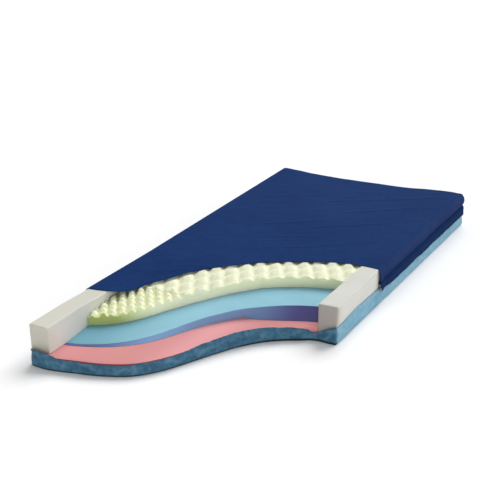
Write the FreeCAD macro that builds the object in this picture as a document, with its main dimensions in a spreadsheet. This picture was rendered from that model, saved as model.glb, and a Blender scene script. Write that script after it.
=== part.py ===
"""A pressure relief mattress shown cut open at its foot end, as a parametric FreeCAD document.

Foam core: a firm base, a middle layer whose top slopes down to the heels, a convoluted topper and two
firm side rails.  Cover: a coated bottom cover and a stretch top cover that meet at a zip round three
sides, under a flap.  Every layer is cut back in its own S-curve, so that the layers show as terraces.

Frame: millimetres, X across, Y along with the head end at +Y, Z up.  The origin is on the underside, at
the middle of the mattress's width and of its length from the front of the cover to the head flap.
"""
import FreeCAD
import Part
import Sketcher
import math
import os

doc = FreeCAD.newDocument("pressure_relief_mattress")

# ---------------------------------------------------------------------------------------- sizes
SIZES = [
    ("mattress_width", 914, "over the cover's side walls"),
    ("mattress_length", 2134, "from the left rail's cut end to the cover's head wall"),
    ("base_height", 50, "firm base layer"),
    ("middle_height", 50, "middle layer, where it is full"),
    ("topper_height", 50, "convoluted topper, over its peaks"),
    ("bump_pitch", 65, "topper's bumps, from peak to peak across"),
    ("bump_rows", 56.5, "from one row of bumps to the next, along"),
    ("bump_depth", 15, "grooves between the bumps"),
    ("bump_top", 30, "flat left on a bump, across its grooves"),
    ("heel_zone", 540, "where the finer bumps under the heels end, from the left rail's end"),
    ("heel_pitch", 39.5, "finer bumps, from peak to peak across"),
    ("heel_rows", 32.5, "from one row of finer bumps to the next, along"),
    ("heel_depth", 25, "grooves between the finer bumps"),
    ("heel_top", 9, "flat left on a finer bump, across its grooves"),
    ("zone_land", 6, "left uncut between the two patterns of bumps"),
    ("peak_side", 4, "from the middle line to the peak that both patterns are laid out from"),
    ("peak_along", 1048, "to that peak, from the left rail's end"),
    ("rail_width", 74, "side rail"),
    ("corner_radius", 18, "cover's upright corners at the head end"),
    ("layer_gap", 0.3, "between the rails and the layers beside them"),
    ("heel_height", 4, "middle layer at the foot end of its slope"),
    ("heel_start", 105, "foot end of the slope, from the left rail's end"),
    ("heel_end", 770, "where the slope reaches the full height, from the left rail's end"),
    ("front_bulge", 28, "front of the cover beyond the left rail's end"),
    ("front_climb", 658, "how far the front runs back from left to right"),
    ("middle_cut", 108, "middle layer's cut at the left, from the left rail's end"),
    ("middle_climb", 614, "how far that cut runs back from left to right"),
    ("middle_lean", 40, "how far the foot of that cut stands forward at the right"),
    ("topper_cut", 252, "topper's cut at the left, from the left rail's end"),
    ("topper_climb", 640, "how far that cut runs back from left to right"),
    ("cover_cut", 371, "top cover's cut at the left, from the left rail's end"),
    ("cover_climb", 677, "how far that cut runs back from left to right"),
    ("right_rail_cut", 631, "right rail's cut end, from the left rail's end"),
    ("fabric", 0.8, "cover fabric"),
    ("cover_ease", 0.3, "between the foam's top and the top cover"),
    ("corner_wrap", 20, "straight part of a head panel beyond each corner"),
    ("zip_height", 80, "middle of the zip, from the floor"),
    ("fabric_clear", 1.7, "from the zip slider to the edges of the fabric above and below it"),
    ("zip_setback", 6, "zip's cut ends behind the top cover's cut"),
    ("tape_gap", 0.2, "between a zip tape and the fabric sewn over it"),
    ("tape_thickness", 0.6, "zip tape"),
    ("tape_parting", 1.2, "from the zip's middle to a tape's edge"),
    ("tape_width", 12.8, "zip tape"),
    ("coil_thickness", 2.4, "zip coil, outwards from the tape"),
    ("coil_parting", 0.6, "from the zip's middle to a coil"),
    ("coil_width", 4.2, "one zip coil"),
    ("stop_length", 3, "zip stop, along the zip"),
    ("run_gap", 0.3, "round the pieces that slide or turn"),
    ("slider_length", 18, "zip slider"),
    ("slider_plate", 1.0, "each plate of the slider"),
    ("slider_rim", 1.2, "rim that grips a coil's outer edge"),
    ("slider_web", 0.6, "wedge that joins the slider's plates"),
    ("slider_web_length", 5, "wedge, along the zip"),
    ("slider_nose", 2.5, "bevel on the slider's corners"),
    ("tab_thickness", 1.2, "pull tab"),
    ("tab_length", 24, "pull tab, from its pivot to its tip"),
    ("tab_width", 8, "pull tab"),
    ("stud_radius", 1.5, "pivot stud of the pull tab"),
    ("stud_fit", 0.05, "between the stud and the slider's plate"),
    ("stud_head_radius", 2.8, "head of the pivot stud"),
    ("stud_head", 0.8, "thickness of that head"),
    ("flap_gap", 0.7, "between the stud's head and the flap"),
    ("flap_thickness", 1.0, "zip flap"),
    ("flap_clear", 0.7, "from the slider's upper edge to the height where the flap hangs straight"),
    ("flap_drop", 8, "height over which the flap slants outwards"),
    ("flap_length", 45, "from the flap's seam to its hem"),
    ("bead_radius", 0.9, "bead along the flap's seam"),
    ("hem_height", 9, "folded hem of the flap"),
    ("hem_thickness", 0.6, "what the fold adds outwards"),
    ("flap_end_gap", 1, "between a straight flap and a corner flap"),
]

sheet = doc.addObject("Spreadsheet::Sheet", "sizes")
for row, (alias, number, meaning) in enumerate(SIZES, start=1):
    sheet.set("A%d" % row, meaning)
    sheet.set("B%d" % row, str(number))
    sheet.setAlias("B%d" % row, alias)
doc.recompute()


def number(expression):
    """The value of an expression of the sheet, for shapes that are worked out in code."""
    return float(sheet.evalExpression(expression.replace("sizes.", "")))


# Places that several pieces share, as expressions of the sheet.  Depths are measured outwards from the
# outer face of the cover's walls.
HALF = "sizes.mattress_width / 2"
TAPE_FACE = "-sizes.fabric - sizes.tape_gap"
TAPE_BACK = "(%s - sizes.tape_thickness)" % TAPE_FACE
PLATE_BACK = "(%s - sizes.run_gap - sizes.slider_plate)" % TAPE_BACK
FOAM_INSET = "(sizes.run_gap - %s)" % PLATE_BACK
COIL_FACE = "(%s + sizes.coil_thickness)" % TAPE_FACE
PLATE_FRONT = "(%s + sizes.run_gap)" % COIL_FACE
TAB_BACK = "(%s + sizes.slider_plate + sizes.run_gap)" % PLATE_FRONT
HEAD_BACK = "(%s + sizes.tab_thickness + sizes.run_gap)" % TAB_BACK
FLAP_FACE = "(%s + sizes.stud_head + sizes.flap_gap + sizes.flap_thickness)" % HEAD_BACK
SEAM_OUT = "(sizes.bead_radius + sizes.layer_gap)"
FLAP_OUT = "(%s - %s)" % (FLAP_FACE, SEAM_OUT)
OUTSIDE = "(%s + sizes.hem_thickness)" % FLAP_FACE

RAIL_END = "(-(sizes.mattress_length + %s - sizes.front_bulge) / 2)" % OUTSIDE
HEAD = "(%s + sizes.mattress_length)" % RAIL_END
CORNER = "(%s - sizes.corner_radius)" % HEAD
FOAM_SIDE = "(%s - %s)" % (HALF, FOAM_INSET)
FOAM_HEAD = "(%s - %s)" % (HEAD, FOAM_INSET)
RAIL_INSIDE = "(%s - sizes.rail_width)" % FOAM_SIDE
LAYER_SIDE = "(%s - sizes.layer_gap)" % RAIL_INSIDE
COVER_LEFT = "(%s + sizes.cover_cut)" % RAIL_END
COVER_RIGHT = "(%s + sizes.cover_climb)" % COVER_LEFT
ZIP_LEFT = "(%s + sizes.zip_setback)" % COVER_LEFT
ZIP_RIGHT = "(%s + sizes.zip_setback)" % COVER_RIGHT

GRIP_IN = "(sizes.coil_parting + sizes.coil_width + sizes.run_gap)"
GRIP_OUT = "(%s + sizes.slider_rim)" % GRIP_IN
WALL_TOP = "(sizes.zip_height - %s - sizes.fabric_clear)" % GRIP_OUT
BORDER_BOTTOM = "(sizes.zip_height + %s + sizes.fabric_clear)" % GRIP_OUT
SEAM_HEIGHT = "(sizes.zip_height + %s + sizes.flap_clear + sizes.flap_drop)" % GRIP_OUT

BASE_TOP = "(sizes.fabric + sizes.base_height)"
MIDDLE_TOP = "(%s + sizes.middle_height)" % BASE_TOP
FOAM_TOP = "(%s + sizes.topper_height)" % MIDDLE_TOP
COVER_UNDER = "(%s + sizes.cover_ease)" % FOAM_TOP
UNDER_FLOOR = "(-sizes.fabric)"
OVER_COVER = "(%s + 2 * sizes.fabric)" % COVER_UNDER

FRONT_START = "(%s - sizes.front_bulge)" % RAIL_END
MIDDLE_START = "(%s + sizes.middle_cut)" % RAIL_END
TOPPER_START = "(%s + sizes.topper_cut)" % RAIL_END
HEEL_START = "(%s + sizes.heel_start)" % RAIL_END
HEEL_END = "(%s + sizes.heel_end)" % RAIL_END
HEEL_ZONE_END = "(%s + sizes.heel_zone)" % RAIL_END

# The S-curves of the cuts: (share of the width from the left, share of the climb from the left)
FRONT_CURVE = [(0, 0.02), (0.13, 0), (0.285, 0.047), (0.415, 0.149), (0.516, 0.339),
               (0.59, 0.562), (0.68, 0.757), (0.79, 0.921), (0.91, 0.994), (1, 1)]
MIDDLE_CURVE = [(0, -0.01), (0.087, 0), (0.164, 0.028), (0.263, 0.104), (0.361, 0.251), (0.438, 0.459),
                (0.514, 0.65), (0.613, 0.796), (0.733, 0.915), (0.842, 0.979), (1, 1.01)]
TOPPER_CURVE = [(0, -0.05), (0.087, 0), (0.164, 0.059), (0.252, 0.184), (0.334, 0.378), (0.421, 0.559),
                (0.509, 0.719), (0.618, 0.841), (0.739, 0.934), (0.842, 0.981), (1, 1.01)]
COVER_CURVE = [(0, 0), (0.07, 0), (0.125, 0.006), (0.15, 0.05), (0.175, 0.15), (0.219, 0.279),
               (0.291, 0.471), (0.383, 0.632), (0.492, 0.758), (0.607, 0.87), (0.733, 0.947),
               (0.853, 0.991), (1, 1)]
# Shares of the width between which the middle layer's cut starts to lean back
LEAN_START = 0.58
LEAN_END = 0.7


# -------------------------------------------------------------------------------------- helpers
def box(label, x, y, z, length, width, height):
    """A block; its lowest corner and its sides along X, Y and Z are expressions."""
    block = doc.addObject("Part::Box", label)
    block.Label = label
    block.setExpression("Length", length)
    block.setExpression("Width", width)
    block.setExpression("Height", height)
    move(block, x, y, z)
    return block


def move(piece, x, y, z):
    """Put a piece's own origin at a place given by expressions."""
    piece.setExpression("Placement.Base.x", x)
    piece.setExpression("Placement.Base.y", y)
    piece.setExpression("Placement.Base.z", z)


def combine(kind, label, base, tool):
    """Part::Cut or Part::Common of two pieces."""
    result = doc.addObject("Part::" + kind, label)
    result.Label = label
    result.Base = base
    result.Tool = tool
    return result


def new_body(label):
    body = doc.addObject("PartDesign::Body", label)
    body.Label = label
    return body


def sketch_on(body, role, name, offset="0"):
    """A sketch on one of the body's own planes, moved along its normal by an expression."""
    plane = [feature for feature in body.Origin.OriginFeatures if feature.Role == role][0]
    sketch = body.newObject("Sketcher::SketchObject", body.Name + "_" + name)
    sketch.AttachmentSupport = [(plane, "")]
    sketch.MapMode = "FlatFace"
    sketch.setExpression("AttachmentOffset.Base.z", offset)
    return sketch


def pin_point(sketch, line, end, x, y):
    """Tie a point of the sketch to expressions for its two coordinates."""
    for kind, expression in (("DistanceX", x), ("DistanceY", y)):
        constraint = Sketcher.Constraint(kind, -1, 1, line, end, number(expression))
        index = sketch.addConstraint(constraint)
        sketch.setExpression("Constraints[%d]" % index, expression)


def polygon(sketch, points):
    """A closed outline through points whose coordinates are expressions."""
    places = [FreeCAD.Vector(number(x), number(y), 0) for x, y in points]
    lines = []
    for start, end in zip(places, places[1:] + places[:1]):
        lines.append(sketch.addGeometry(Part.LineSegment(start, end), False))
    for line, following in zip(lines, lines[1:] + lines[:1]):
        sketch.addConstraint(Sketcher.Constraint("Coincident", line, 2, following, 1))
    for line, (x, y) in zip(lines, points):
        pin_point(sketch, line, 1, x, y)


def circle(sketch, x, y, radius):
    """A circle whose middle and radius are expressions."""
    middle = FreeCAD.Vector(number(x), number(y), 0)
    ring = Part.Circle(middle, FreeCAD.Vector(0, 0, 1), number(radius))
    index = sketch.addGeometry(ring, False)
    pin_point(sketch, index, 3, x, y)
    size = sketch.addConstraint(Sketcher.Constraint("Radius", index, number(radius)))
    sketch.setExpression("Constraints[%d]" % size, radius)


def pad(body, sketch, length, midplane=False):
    feature = body.newObject("PartDesign::Pad", sketch.Name + "_pad")
    feature.Profile = sketch
    feature.Midplane = midplane
    feature.setExpression("Length", length)
    return feature


def drill(body, sketch, length):
    """A pocket along the sketch's normal, which has to take something away."""
    doc.recompute()
    before = body.Shape.Volume
    feature = body.newObject("PartDesign::Pocket", sketch.Name + "_pocket")
    feature.Profile = sketch
    feature.Reversed = True
    feature.setExpression("Length", length)
    doc.recompute()
    if body.Shape.Volume >= before:
        raise ValueError(feature.Name + " takes nothing away")


def round_uprights(body, base, places, radius):
    """Fillet the upright edges of the body's last feature that stand at the given (x, y) places."""
    doc.recompute()
    chosen = []
    for index, edge in enumerate(base.Shape.Edges, start=1):
        first, last = edge.Vertexes[0].Point, edge.Vertexes[-1].Point
        for x, y in places:
            foot = FreeCAD.Vector(number(x), number(y), 0)
            if all((FreeCAD.Vector(p.x, p.y, 0) - foot).Length < 0.01 for p in (first, last)):
                chosen.append("Edge%d" % index)
    fillet = body.newObject("PartDesign::Fillet", base.Name + "_round")
    fillet.Base = (base, chosen)
    fillet.setExpression("Radius", radius)
    return fillet


def slab(label, side, foot, head, radius, bottom, height):
    """A flat layer over the whole plan, with the two head corners rounded."""
    body = new_body(label)
    sketch = sketch_on(body, "XY_Plane", "plan")
    polygon(sketch, [("-" + side, foot), (side, foot), (side, head), ("-" + side, head)])
    layer = pad(body, sketch, height)
    round_uprights(body, layer, [(side, head), ("-" + side, head)], radius)
    move(body, "0", "0", bottom)
    return body


def wrap(label, face, thickness, bottom, height, left_end, right_end):
    """A strip that runs up the left side, across the head end and down the right side.

    face is the depth of its outer face from the cover's walls, positive outwards.
    """
    out_side = "(%s + %s)" % (HALF, face)
    in_side = "(%s - %s)" % (out_side, thickness)
    out_head = "(%s + %s)" % (HEAD, face)
    in_head = "(%s - %s)" % (out_head, thickness)
    body = new_body(label)
    sketch = sketch_on(body, "XY_Plane", "plan")
    polygon(sketch, [("-" + out_side, left_end), ("-" + out_side, out_head), (out_side, out_head),
                     (out_side, right_end), (in_side, right_end), (in_side, in_head),
                     ("-" + in_side, in_head), ("-" + in_side, left_end)])
    strip = pad(body, sketch, height)
    outer = round_uprights(body, strip, [(out_side, out_head), ("-" + out_side, out_head)],
                           "sizes.corner_radius + " + face)
    round_uprights(body, outer, [(in_side, in_head), ("-" + in_side, in_head)],
                   "sizes.corner_radius + %s - %s" % (face, thickness))
    move(body, "0", "0", bottom)
    return body


def cut_points(curve, start, climb):
    """The places of an S-curve that starts at start and runs back by climb."""
    width = number("sizes.mattress_width")
    places = []
    for across, along in curve:
        places.append(FreeCAD.Vector((across - 0.5) * width, number(start) + along * number(climb), 0))
    return places


def spline(places):
    curve = Part.BSplineCurve()
    curve.interpolate(places)
    return curve


def shifted(places, distance):
    """The curve's places moved square to the curve, towards the head end."""
    curve = spline(places)
    moved = []
    for place in places:
        along = curve.tangent(curve.parameter(place))[0]
        moved.append(place + FreeCAD.Vector(-along.y, along.x, 0) * distance)
    moved[0].x = places[0].x
    moved[-1].x = places[-1].x
    return moved


def plan_behind(places, height):
    """The closed outline, at a height, of everything from a cut curve back to past the head end."""
    back = number(HEAD) + number("sizes.corner_radius")
    front = spline(places)
    first = front.value(front.FirstParameter)
    last = front.value(front.LastParameter)
    right = FreeCAD.Vector(last.x, back, 0)
    left = FreeCAD.Vector(first.x, back, 0)
    edges = [front.toShape(), Part.makeLine(last, right), Part.makeLine(right, left),
             Part.makeLine(left, first)]
    wire = Part.Wire(edges)
    wire.translate(FreeCAD.Vector(0, 0, height))
    return wire


def space_behind(label, shape):
    """A tool for the cuts: a solid worked out in code."""
    space = doc.addObject("Part::Feature", label)
    space.Label = label
    space.Shape = shape
    space.Placement = FreeCAD.Placement()
    return space


def behind_upright_cut(label, places):
    """The space behind a cut that stands upright, from under the floor to over the cover."""
    bottom, top = number(UNDER_FLOOR), number(OVER_COVER)
    plan = Part.Face(plan_behind(places, bottom))
    return space_behind(label, plan.extrude(FreeCAD.Vector(0, 0, top - bottom)))


def behind_leaning_cut(label, low_places, high_places, bottom, top):
    """The space behind a cut whose curve at its bottom differs from the one at its top."""
    low = plan_behind(low_places, number(bottom))
    high = plan_behind(high_places, number(top))
    return space_behind(label, Part.makeLoft([low, high], True, True))


# --------------------------------------------------------------------------------- front cuts
front_places = cut_points(FRONT_CURVE, FRONT_START, "sizes.front_climb")
cover_space = behind_upright_cut("space_behind_front", front_places)
inner_space = behind_upright_cut("space_behind_front_wall",
                                 shifted(front_places, number("sizes.fabric")))
foam_space = behind_upright_cut("space_behind_foam_front",
                                shifted(front_places, number("sizes.fabric + sizes.layer_gap")))

middle_places = cut_points(MIDDLE_CURVE, MIDDLE_START, "sizes.middle_climb")
leaning_places = []
for place, (across, along) in zip(middle_places, MIDDLE_CURVE):
    share = min(1, max(0, (across - LEAN_START) / (LEAN_END - LEAN_START)))
    leaning_places.append(place - FreeCAD.Vector(0, share * number("sizes.middle_lean"), 0))
middle_space = behind_leaning_cut("space_behind_middle_cut", leaning_places, middle_places,
                                  BASE_TOP, MIDDLE_TOP)

topper_places = cut_points(TOPPER_CURVE, TOPPER_START, "sizes.topper_climb")
topper_space = behind_upright_cut("space_behind_topper_cut", topper_places)

top_cover_places = cut_points(COVER_CURVE, COVER_LEFT, "sizes.cover_climb")
top_cover_space = behind_upright_cut("space_behind_cover_cut", top_cover_places)


# ---------------------------------------------------------------------------------- foam core
def base_foam():
    """Firm base layer: it fills the bottom cover and carries the rails."""
    radius = "sizes.corner_radius - " + FOAM_INSET
    whole = slab("base_foam_blank", FOAM_SIDE, FRONT_START, FOAM_HEAD, radius,
                 "sizes.fabric", "sizes.base_height")
    return combine("Common", "base_foam", whole, foam_space)


def slope_height(above):
    """The two heights, at the foot and behind the slope, of a face that runs above the middle layer."""
    low = "(%s + sizes.heel_height + %s)" % (BASE_TOP, above)
    high = "(%s + %s)" % (MIDDLE_TOP, above)
    return low, high


def middle_foam():
    """Middle layer between the rails; its top slopes down under the heels."""
    body = new_body("middle_foam_blank")
    sketch = sketch_on(body, "YZ_Plane", "profile")
    low, high = slope_height("0")
    polygon(sketch, [(HEEL_START, BASE_TOP), (FOAM_HEAD, BASE_TOP), (FOAM_HEAD, high),
                     (HEEL_END, high), (HEEL_START, low)])
    pad(body, sketch, "2 * " + LAYER_SIDE, midplane=True)
    return combine("Common", "middle_foam", body, middle_space)


def groove(x, lean, half_width, depth, slope, alongs):
    """One V groove of the topper as a closed solid, through sections at the given places along.

    It starts at x and slants by lean across for each unit along.  Its edges follow the bend where the
    topper turns from the heel slope to the flat.
    """
    level = number(FOAM_TOP)
    rise = depth / half_width
    over = half_width / 5
    sections = []
    for along in alongs:
        top = level - slope * max(0, number(HEEL_END) - along)
        middle = x + lean * (along - alongs[0])
        wide = (half_width + over) * math.hypot(1, lean)
        sections.append([FreeCAD.Vector(middle - wide, along, top + rise * over),
                         FreeCAD.Vector(middle, along, top - depth),
                         FreeCAD.Vector(middle + wide, along, top + rise * over)])
    faces = [Part.Face(Part.makePolygon(sections[0] + sections[0][:1])),
             Part.Face(Part.makePolygon(sections[-1] + sections[-1][:1]))]
    for near, far in zip(sections, sections[1:]):
        for corner in range(3):
            after = (corner + 1) % 3
            ring = [near[corner], near[after], far[after], far[corner], near[corner]]
            faces.append(Part.Face(Part.makePolygon(ring)))
    return Part.Solid(Part.Shell(faces))


def groove_family(zone, direction, alongs):
    """All the parallel grooves of a zone that slant one way: +1 to the right going back, -1 to the left.

    zone is the first word of the sizes of its bumps.  The grooves lie half a pitch either side of the peak
    that both zones are laid out from.
    """
    pitch, rows, depth, top = [number("sizes.%s_%s" % (zone, size)) for size in ("pitch", "rows", "depth", "top")]
    lean = direction * pitch / 2 / rows
    half_width = (pitch / math.hypot(1, lean) - top) / 2
    slope = number("sizes.middle_height - sizes.heel_height") / number("sizes.heel_end - sizes.heel_start")
    side = number(LAYER_SIDE) + pitch
    drift = lean * (alongs[-1] - alongs[0])
    from_peak = lean * (alongs[0] - number(RAIL_END) - number("sizes.peak_along"))
    first = pitch / 2 - number("sizes.peak_side") + from_peak
    lowest = math.ceil((-side - max(0, drift) - first) / pitch)
    highest = math.floor((side - min(0, drift) - first) / pitch)
    grooves = [groove(first + index * pitch, lean, half_width, depth, slope, alongs)
               for index in range(lowest, highest + 1)]
    name = "%s_grooves_to_the_%s" % (zone, "right" if direction > 0 else "left")
    family = doc.addObject("Part::Feature", name)
    family.Label = name
    family.Shape = Part.makeCompound(grooves)
    family.Placement = FreeCAD.Placement()
    return family


def convoluted_topper():
    """Soft topper on the middle layer; V grooves in two directions leave staggered peaks.

    The bumps under the heels are finer and deeper than the rest.
    """
    body = new_body("topper_blank")
    sketch = sketch_on(body, "YZ_Plane", "profile")
    low, high = slope_height("0")
    low_top, high_top = slope_height("sizes.topper_height")
    polygon(sketch, [(HEEL_START, low), (HEEL_END, high), (FOAM_HEAD, high), (FOAM_HEAD, high_top),
                     (HEEL_END, high_top), (HEEL_START, low_top)])
    pad(body, sketch, "2 * " + LAYER_SIDE, midplane=True)
    topper = combine("Common", "topper_trimmed", body, topper_space)
    heel_alongs = [number(HEEL_START), number(HEEL_ZONE_END + " - sizes.zone_land / 2")]
    alongs = [number(HEEL_ZONE_END + " + sizes.zone_land / 2"), number(HEEL_END), number(HEAD)]
    topper = combine("Cut", "topper_heel_ridged", topper, groove_family("heel", 1, heel_alongs))
    topper = combine("Cut", "topper_heel_bumps", topper, groove_family("heel", -1, heel_alongs))
    topper = combine("Cut", "topper_ridged", topper, groove_family("bump", 1, alongs))
    return combine("Cut", "convoluted_topper", topper, groove_family("bump", -1, alongs))


def side_rail(label, side, cut_end):
    """Firm rail on the base; side is +1 on the right and -1 on the left."""
    sign = "" if side > 0 else "-"
    body = new_body(label)
    sketch = sketch_on(body, "XY_Plane", "plan")
    outside, inside = sign + FOAM_SIDE, sign + RAIL_INSIDE
    ring = [(inside, cut_end), (outside, cut_end), (outside, FOAM_HEAD), (inside, FOAM_HEAD)]
    polygon(sketch, ring if side > 0 else ring[::-1])
    rail = pad(body, sketch, "sizes.middle_height + sizes.topper_height")
    round_uprights(body, rail, [(outside, FOAM_HEAD)], "sizes.corner_radius - " + FOAM_INSET)
    move(body, "0", "0", BASE_TOP)
    return body


# -------------------------------------------------------------------------------------- cover
def bottom_panel():
    """Underside of the bottom cover."""
    whole = slab("bottom_panel_blank", HALF, FRONT_START, HEAD, "sizes.corner_radius",
                 "0", "sizes.fabric")
    return combine("Common", "bottom_panel", whole, cover_space)


def front_cover_wall():
    """Bottom cover's front wall; it follows the S-curve as high as the base layer."""
    side = "(%s - sizes.fabric)" % HALF
    block = box("front_wall_block", "-" + side, FRONT_START, "sizes.fabric",
                "2 * " + side, "2 * sizes.front_climb", "sizes.base_height")
    skin = combine("Common", "front_wall_skin", block, cover_space)
    return combine("Cut", "front_cover_wall", skin, inner_space)


def side_panel(label, side, start, bottom, height):
    """Straight upright panel of a cover, from start to the head panel's end."""
    x = "(%s - sizes.fabric)" % HALF if side > 0 else "-" + HALF
    return box(label, x, start, bottom, "sizes.fabric",
               "%s - sizes.corner_wrap - %s" % (CORNER, start), height)


def head_panel(label, bottom, height):
    """Upright panel across the head end, round both corners."""
    end = "(%s - sizes.corner_wrap)" % CORNER
    return wrap(label, "0", "sizes.fabric", bottom, height, end, end)


def bottom_cover_walls():
    height = "(%s - sizes.fabric)" % WALL_TOP
    left_start = "(%s + %r * sizes.front_climb)" % (FRONT_START, FRONT_CURVE[0][1])
    right_start = "(%s + sizes.front_climb)" % FRONT_START
    return [side_panel("left_cover_wall", -1, left_start, "sizes.fabric", height),
            side_panel("right_cover_wall", 1, right_start, "sizes.fabric", height),
            head_panel("head_cover_wall", "sizes.fabric", height)]


def top_cover():
    """Top panel and the three border panels that hang from it."""
    whole = slab("top_panel_blank", HALF, RAIL_END, HEAD, "sizes.corner_radius",
                 COVER_UNDER, "sizes.fabric")
    height = "(%s - %s)" % (COVER_UNDER, BORDER_BOTTOM)
    return [combine("Common", "top_panel", whole, top_cover_space),
            side_panel("left_border", -1, COVER_LEFT, BORDER_BOTTOM, height),
            side_panel("right_border", 1, COVER_RIGHT, BORDER_BOTTOM, height),
            head_panel("head_border", BORDER_BOTTOM, height)]


# ---------------------------------------------------------------------------------------- zip
def zip_strips():
    """The two tapes and the two coils, each one strip round three sides."""
    low_tape = "(sizes.zip_height - sizes.tape_parting - sizes.tape_width)"
    high_tape = "(sizes.zip_height + sizes.tape_parting)"
    low_coil = "(sizes.zip_height - sizes.coil_parting - sizes.coil_width)"
    high_coil = "(sizes.zip_height + sizes.coil_parting)"
    left, right = ZIP_LEFT + " + sizes.stop_length", ZIP_RIGHT + " + sizes.stop_length"
    strips = []
    for label, bottom in (("lower_zip_tape", low_tape), ("upper_zip_tape", high_tape)):
        strips.append(wrap(label, "(%s)" % TAPE_FACE, "sizes.tape_thickness", bottom,
                           "sizes.tape_width", ZIP_LEFT, ZIP_RIGHT))
    for label, bottom in (("lower_zip_coil", low_coil), ("upper_zip_coil", high_coil)):
        strips.append(wrap(label, COIL_FACE, "sizes.coil_thickness", bottom,
                           "sizes.coil_width", left, right))
    return strips


def zip_stops():
    """Two top stops, one on each coil, at the right; one bottom stop over both coils at the left."""
    inside = "(%s + %s)" % (HALF, TAPE_FACE)
    low = "sizes.zip_height - sizes.coil_parting - sizes.coil_width"
    high = "sizes.zip_height + sizes.coil_parting"
    blocks = [box("lower_top_stop", inside, ZIP_RIGHT, low, "sizes.coil_thickness",
                  "sizes.stop_length", "sizes.coil_width"),
              box("upper_top_stop", inside, ZIP_RIGHT, high, "sizes.coil_thickness",
                  "sizes.stop_length", "sizes.coil_width")]
    pair = doc.addObject("Part::Compound", "zip_top_stops")
    pair.Label = "zip_top_stops"
    pair.Links = blocks
    single = box("zip_bottom_stop", "-(%s + %s)" % (HALF, COIL_FACE), ZIP_LEFT, low,
                 "sizes.coil_thickness", "sizes.stop_length",
                 "2 * (sizes.coil_parting + sizes.coil_width)")
    return [pair, single]


SLIDER_Y = "(%s + sizes.stop_length + sizes.run_gap + sizes.slider_length / 2)" % ZIP_RIGHT


def bevelled_plate(sketch):
    """Outline of a slider plate: a rectangle with its four corners bevelled."""
    end = "sizes.slider_length / 2"
    shoulder = "(%s - sizes.slider_nose)" % end
    neck = "(%s - sizes.slider_nose / 2)" % GRIP_OUT
    polygon(sketch, [("-" + end, "-" + neck), ("-" + shoulder, "-" + GRIP_OUT),
                     (shoulder, "-" + GRIP_OUT), (end, "-" + neck), (end, neck),
                     (shoulder, GRIP_OUT), ("-" + shoulder, GRIP_OUT), ("-" + end, neck)])


def zip_slider():
    """Slider: front and back plates, two rims that grip the coils and the wedge between them."""
    body = new_body("zip_slider")
    back = sketch_on(body, "YZ_Plane", "back_plate", PLATE_BACK)
    bevelled_plate(back)
    pad(body, back, "sizes.slider_plate")
    web_start = "(-sizes.slider_length / 2 + sizes.slider_plate)"
    web_end = "(%s + sizes.slider_web_length)" % web_start
    web_side = "sizes.slider_web / 2"
    web = sketch_on(body, "YZ_Plane", "web", PLATE_BACK)
    polygon(web, [(web_start, "-" + web_side), (web_end, "-" + web_side),
                  (web_end, web_side), (web_start, web_side)])
    pad(body, web, "%s - %s + sizes.slider_plate" % (PLATE_FRONT, PLATE_BACK))
    front = sketch_on(body, "YZ_Plane", "front_plate", PLATE_FRONT)
    bevelled_plate(front)
    pad(body, front, "sizes.slider_plate")
    shoulder = "(sizes.slider_length / 2 - sizes.slider_nose)"
    rim_back = "(%s + sizes.run_gap)" % TAPE_FACE
    for name, low, high in (("lower_rim", "-" + GRIP_OUT, "-" + GRIP_IN),
                            ("upper_rim", GRIP_IN, GRIP_OUT)):
        rim = sketch_on(body, "YZ_Plane", name, rim_back)
        polygon(rim, [("-" + shoulder, low), (shoulder, low), (shoulder, high),
                      ("-" + shoulder, high)])
        pad(body, rim, "%s - %s + sizes.slider_plate" % (PLATE_FRONT, rim_back))
    hole = sketch_on(body, "YZ_Plane", "stud_hole", PLATE_FRONT)
    circle(hole, "0", "0", "sizes.stud_radius + sizes.stud_fit")
    drill(body, hole, "sizes.slider_plate")
    move(body, HALF, SLIDER_Y, "sizes.zip_height")
    return body


def tab_stud():
    """Rivet that holds the pull tab: its shank goes through the slider's front plate."""
    shank = doc.addObject("Part::Cylinder", "stud_shank")
    shank.setExpression("Radius", "sizes.stud_radius")
    shank.setExpression("Height", "%s - %s" % (HEAD_BACK, PLATE_FRONT))
    head = doc.addObject("Part::Cylinder", "stud_head_disc")
    head.setExpression("Radius", "sizes.stud_head_radius")
    head.setExpression("Height", "sizes.stud_head")
    for piece, depth in ((shank, PLATE_FRONT), (head, HEAD_BACK)):
        piece.Placement.Rotation = FreeCAD.Rotation(FreeCAD.Vector(0, 1, 0), 90)
        move(piece, "%s + %s" % (HALF, depth), SLIDER_Y, "sizes.zip_height")
    stud = combine("Fuse", "pull_tab_stud", shank, head)
    return stud


def pull_tab():
    """Pull tab that hangs from its stud and swings flat against the mattress's side."""
    body = new_body("pull_tab")
    eye = sketch_on(body, "YZ_Plane", "eye", TAB_BACK)
    circle(eye, "0", "0", "sizes.tab_width / 2")
    pad(body, eye, "sizes.tab_thickness")
    side = "sizes.tab_width / 2"
    bevel = "(sizes.tab_width / 4)"
    tip = "(-sizes.tab_length)"
    blade = sketch_on(body, "YZ_Plane", "blade", TAB_BACK)
    polygon(blade, [("-" + side, "0"), ("-" + side, "%s + %s" % (tip, bevel)),
                    ("-%s + %s" % (side, bevel), tip), ("%s - %s" % (side, bevel), tip),
                    (side, "%s + %s" % (tip, bevel)), (side, "0")])
    pad(body, blade, "sizes.tab_thickness")
    hole = sketch_on(body, "YZ_Plane", "eye_hole", TAB_BACK)
    circle(hole, "0", "0", "sizes.stud_radius + sizes.run_gap")
    drill(body, hole, "sizes.tab_thickness")
    move(body, HALF, SLIDER_Y, "sizes.zip_height")
    return body


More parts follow.
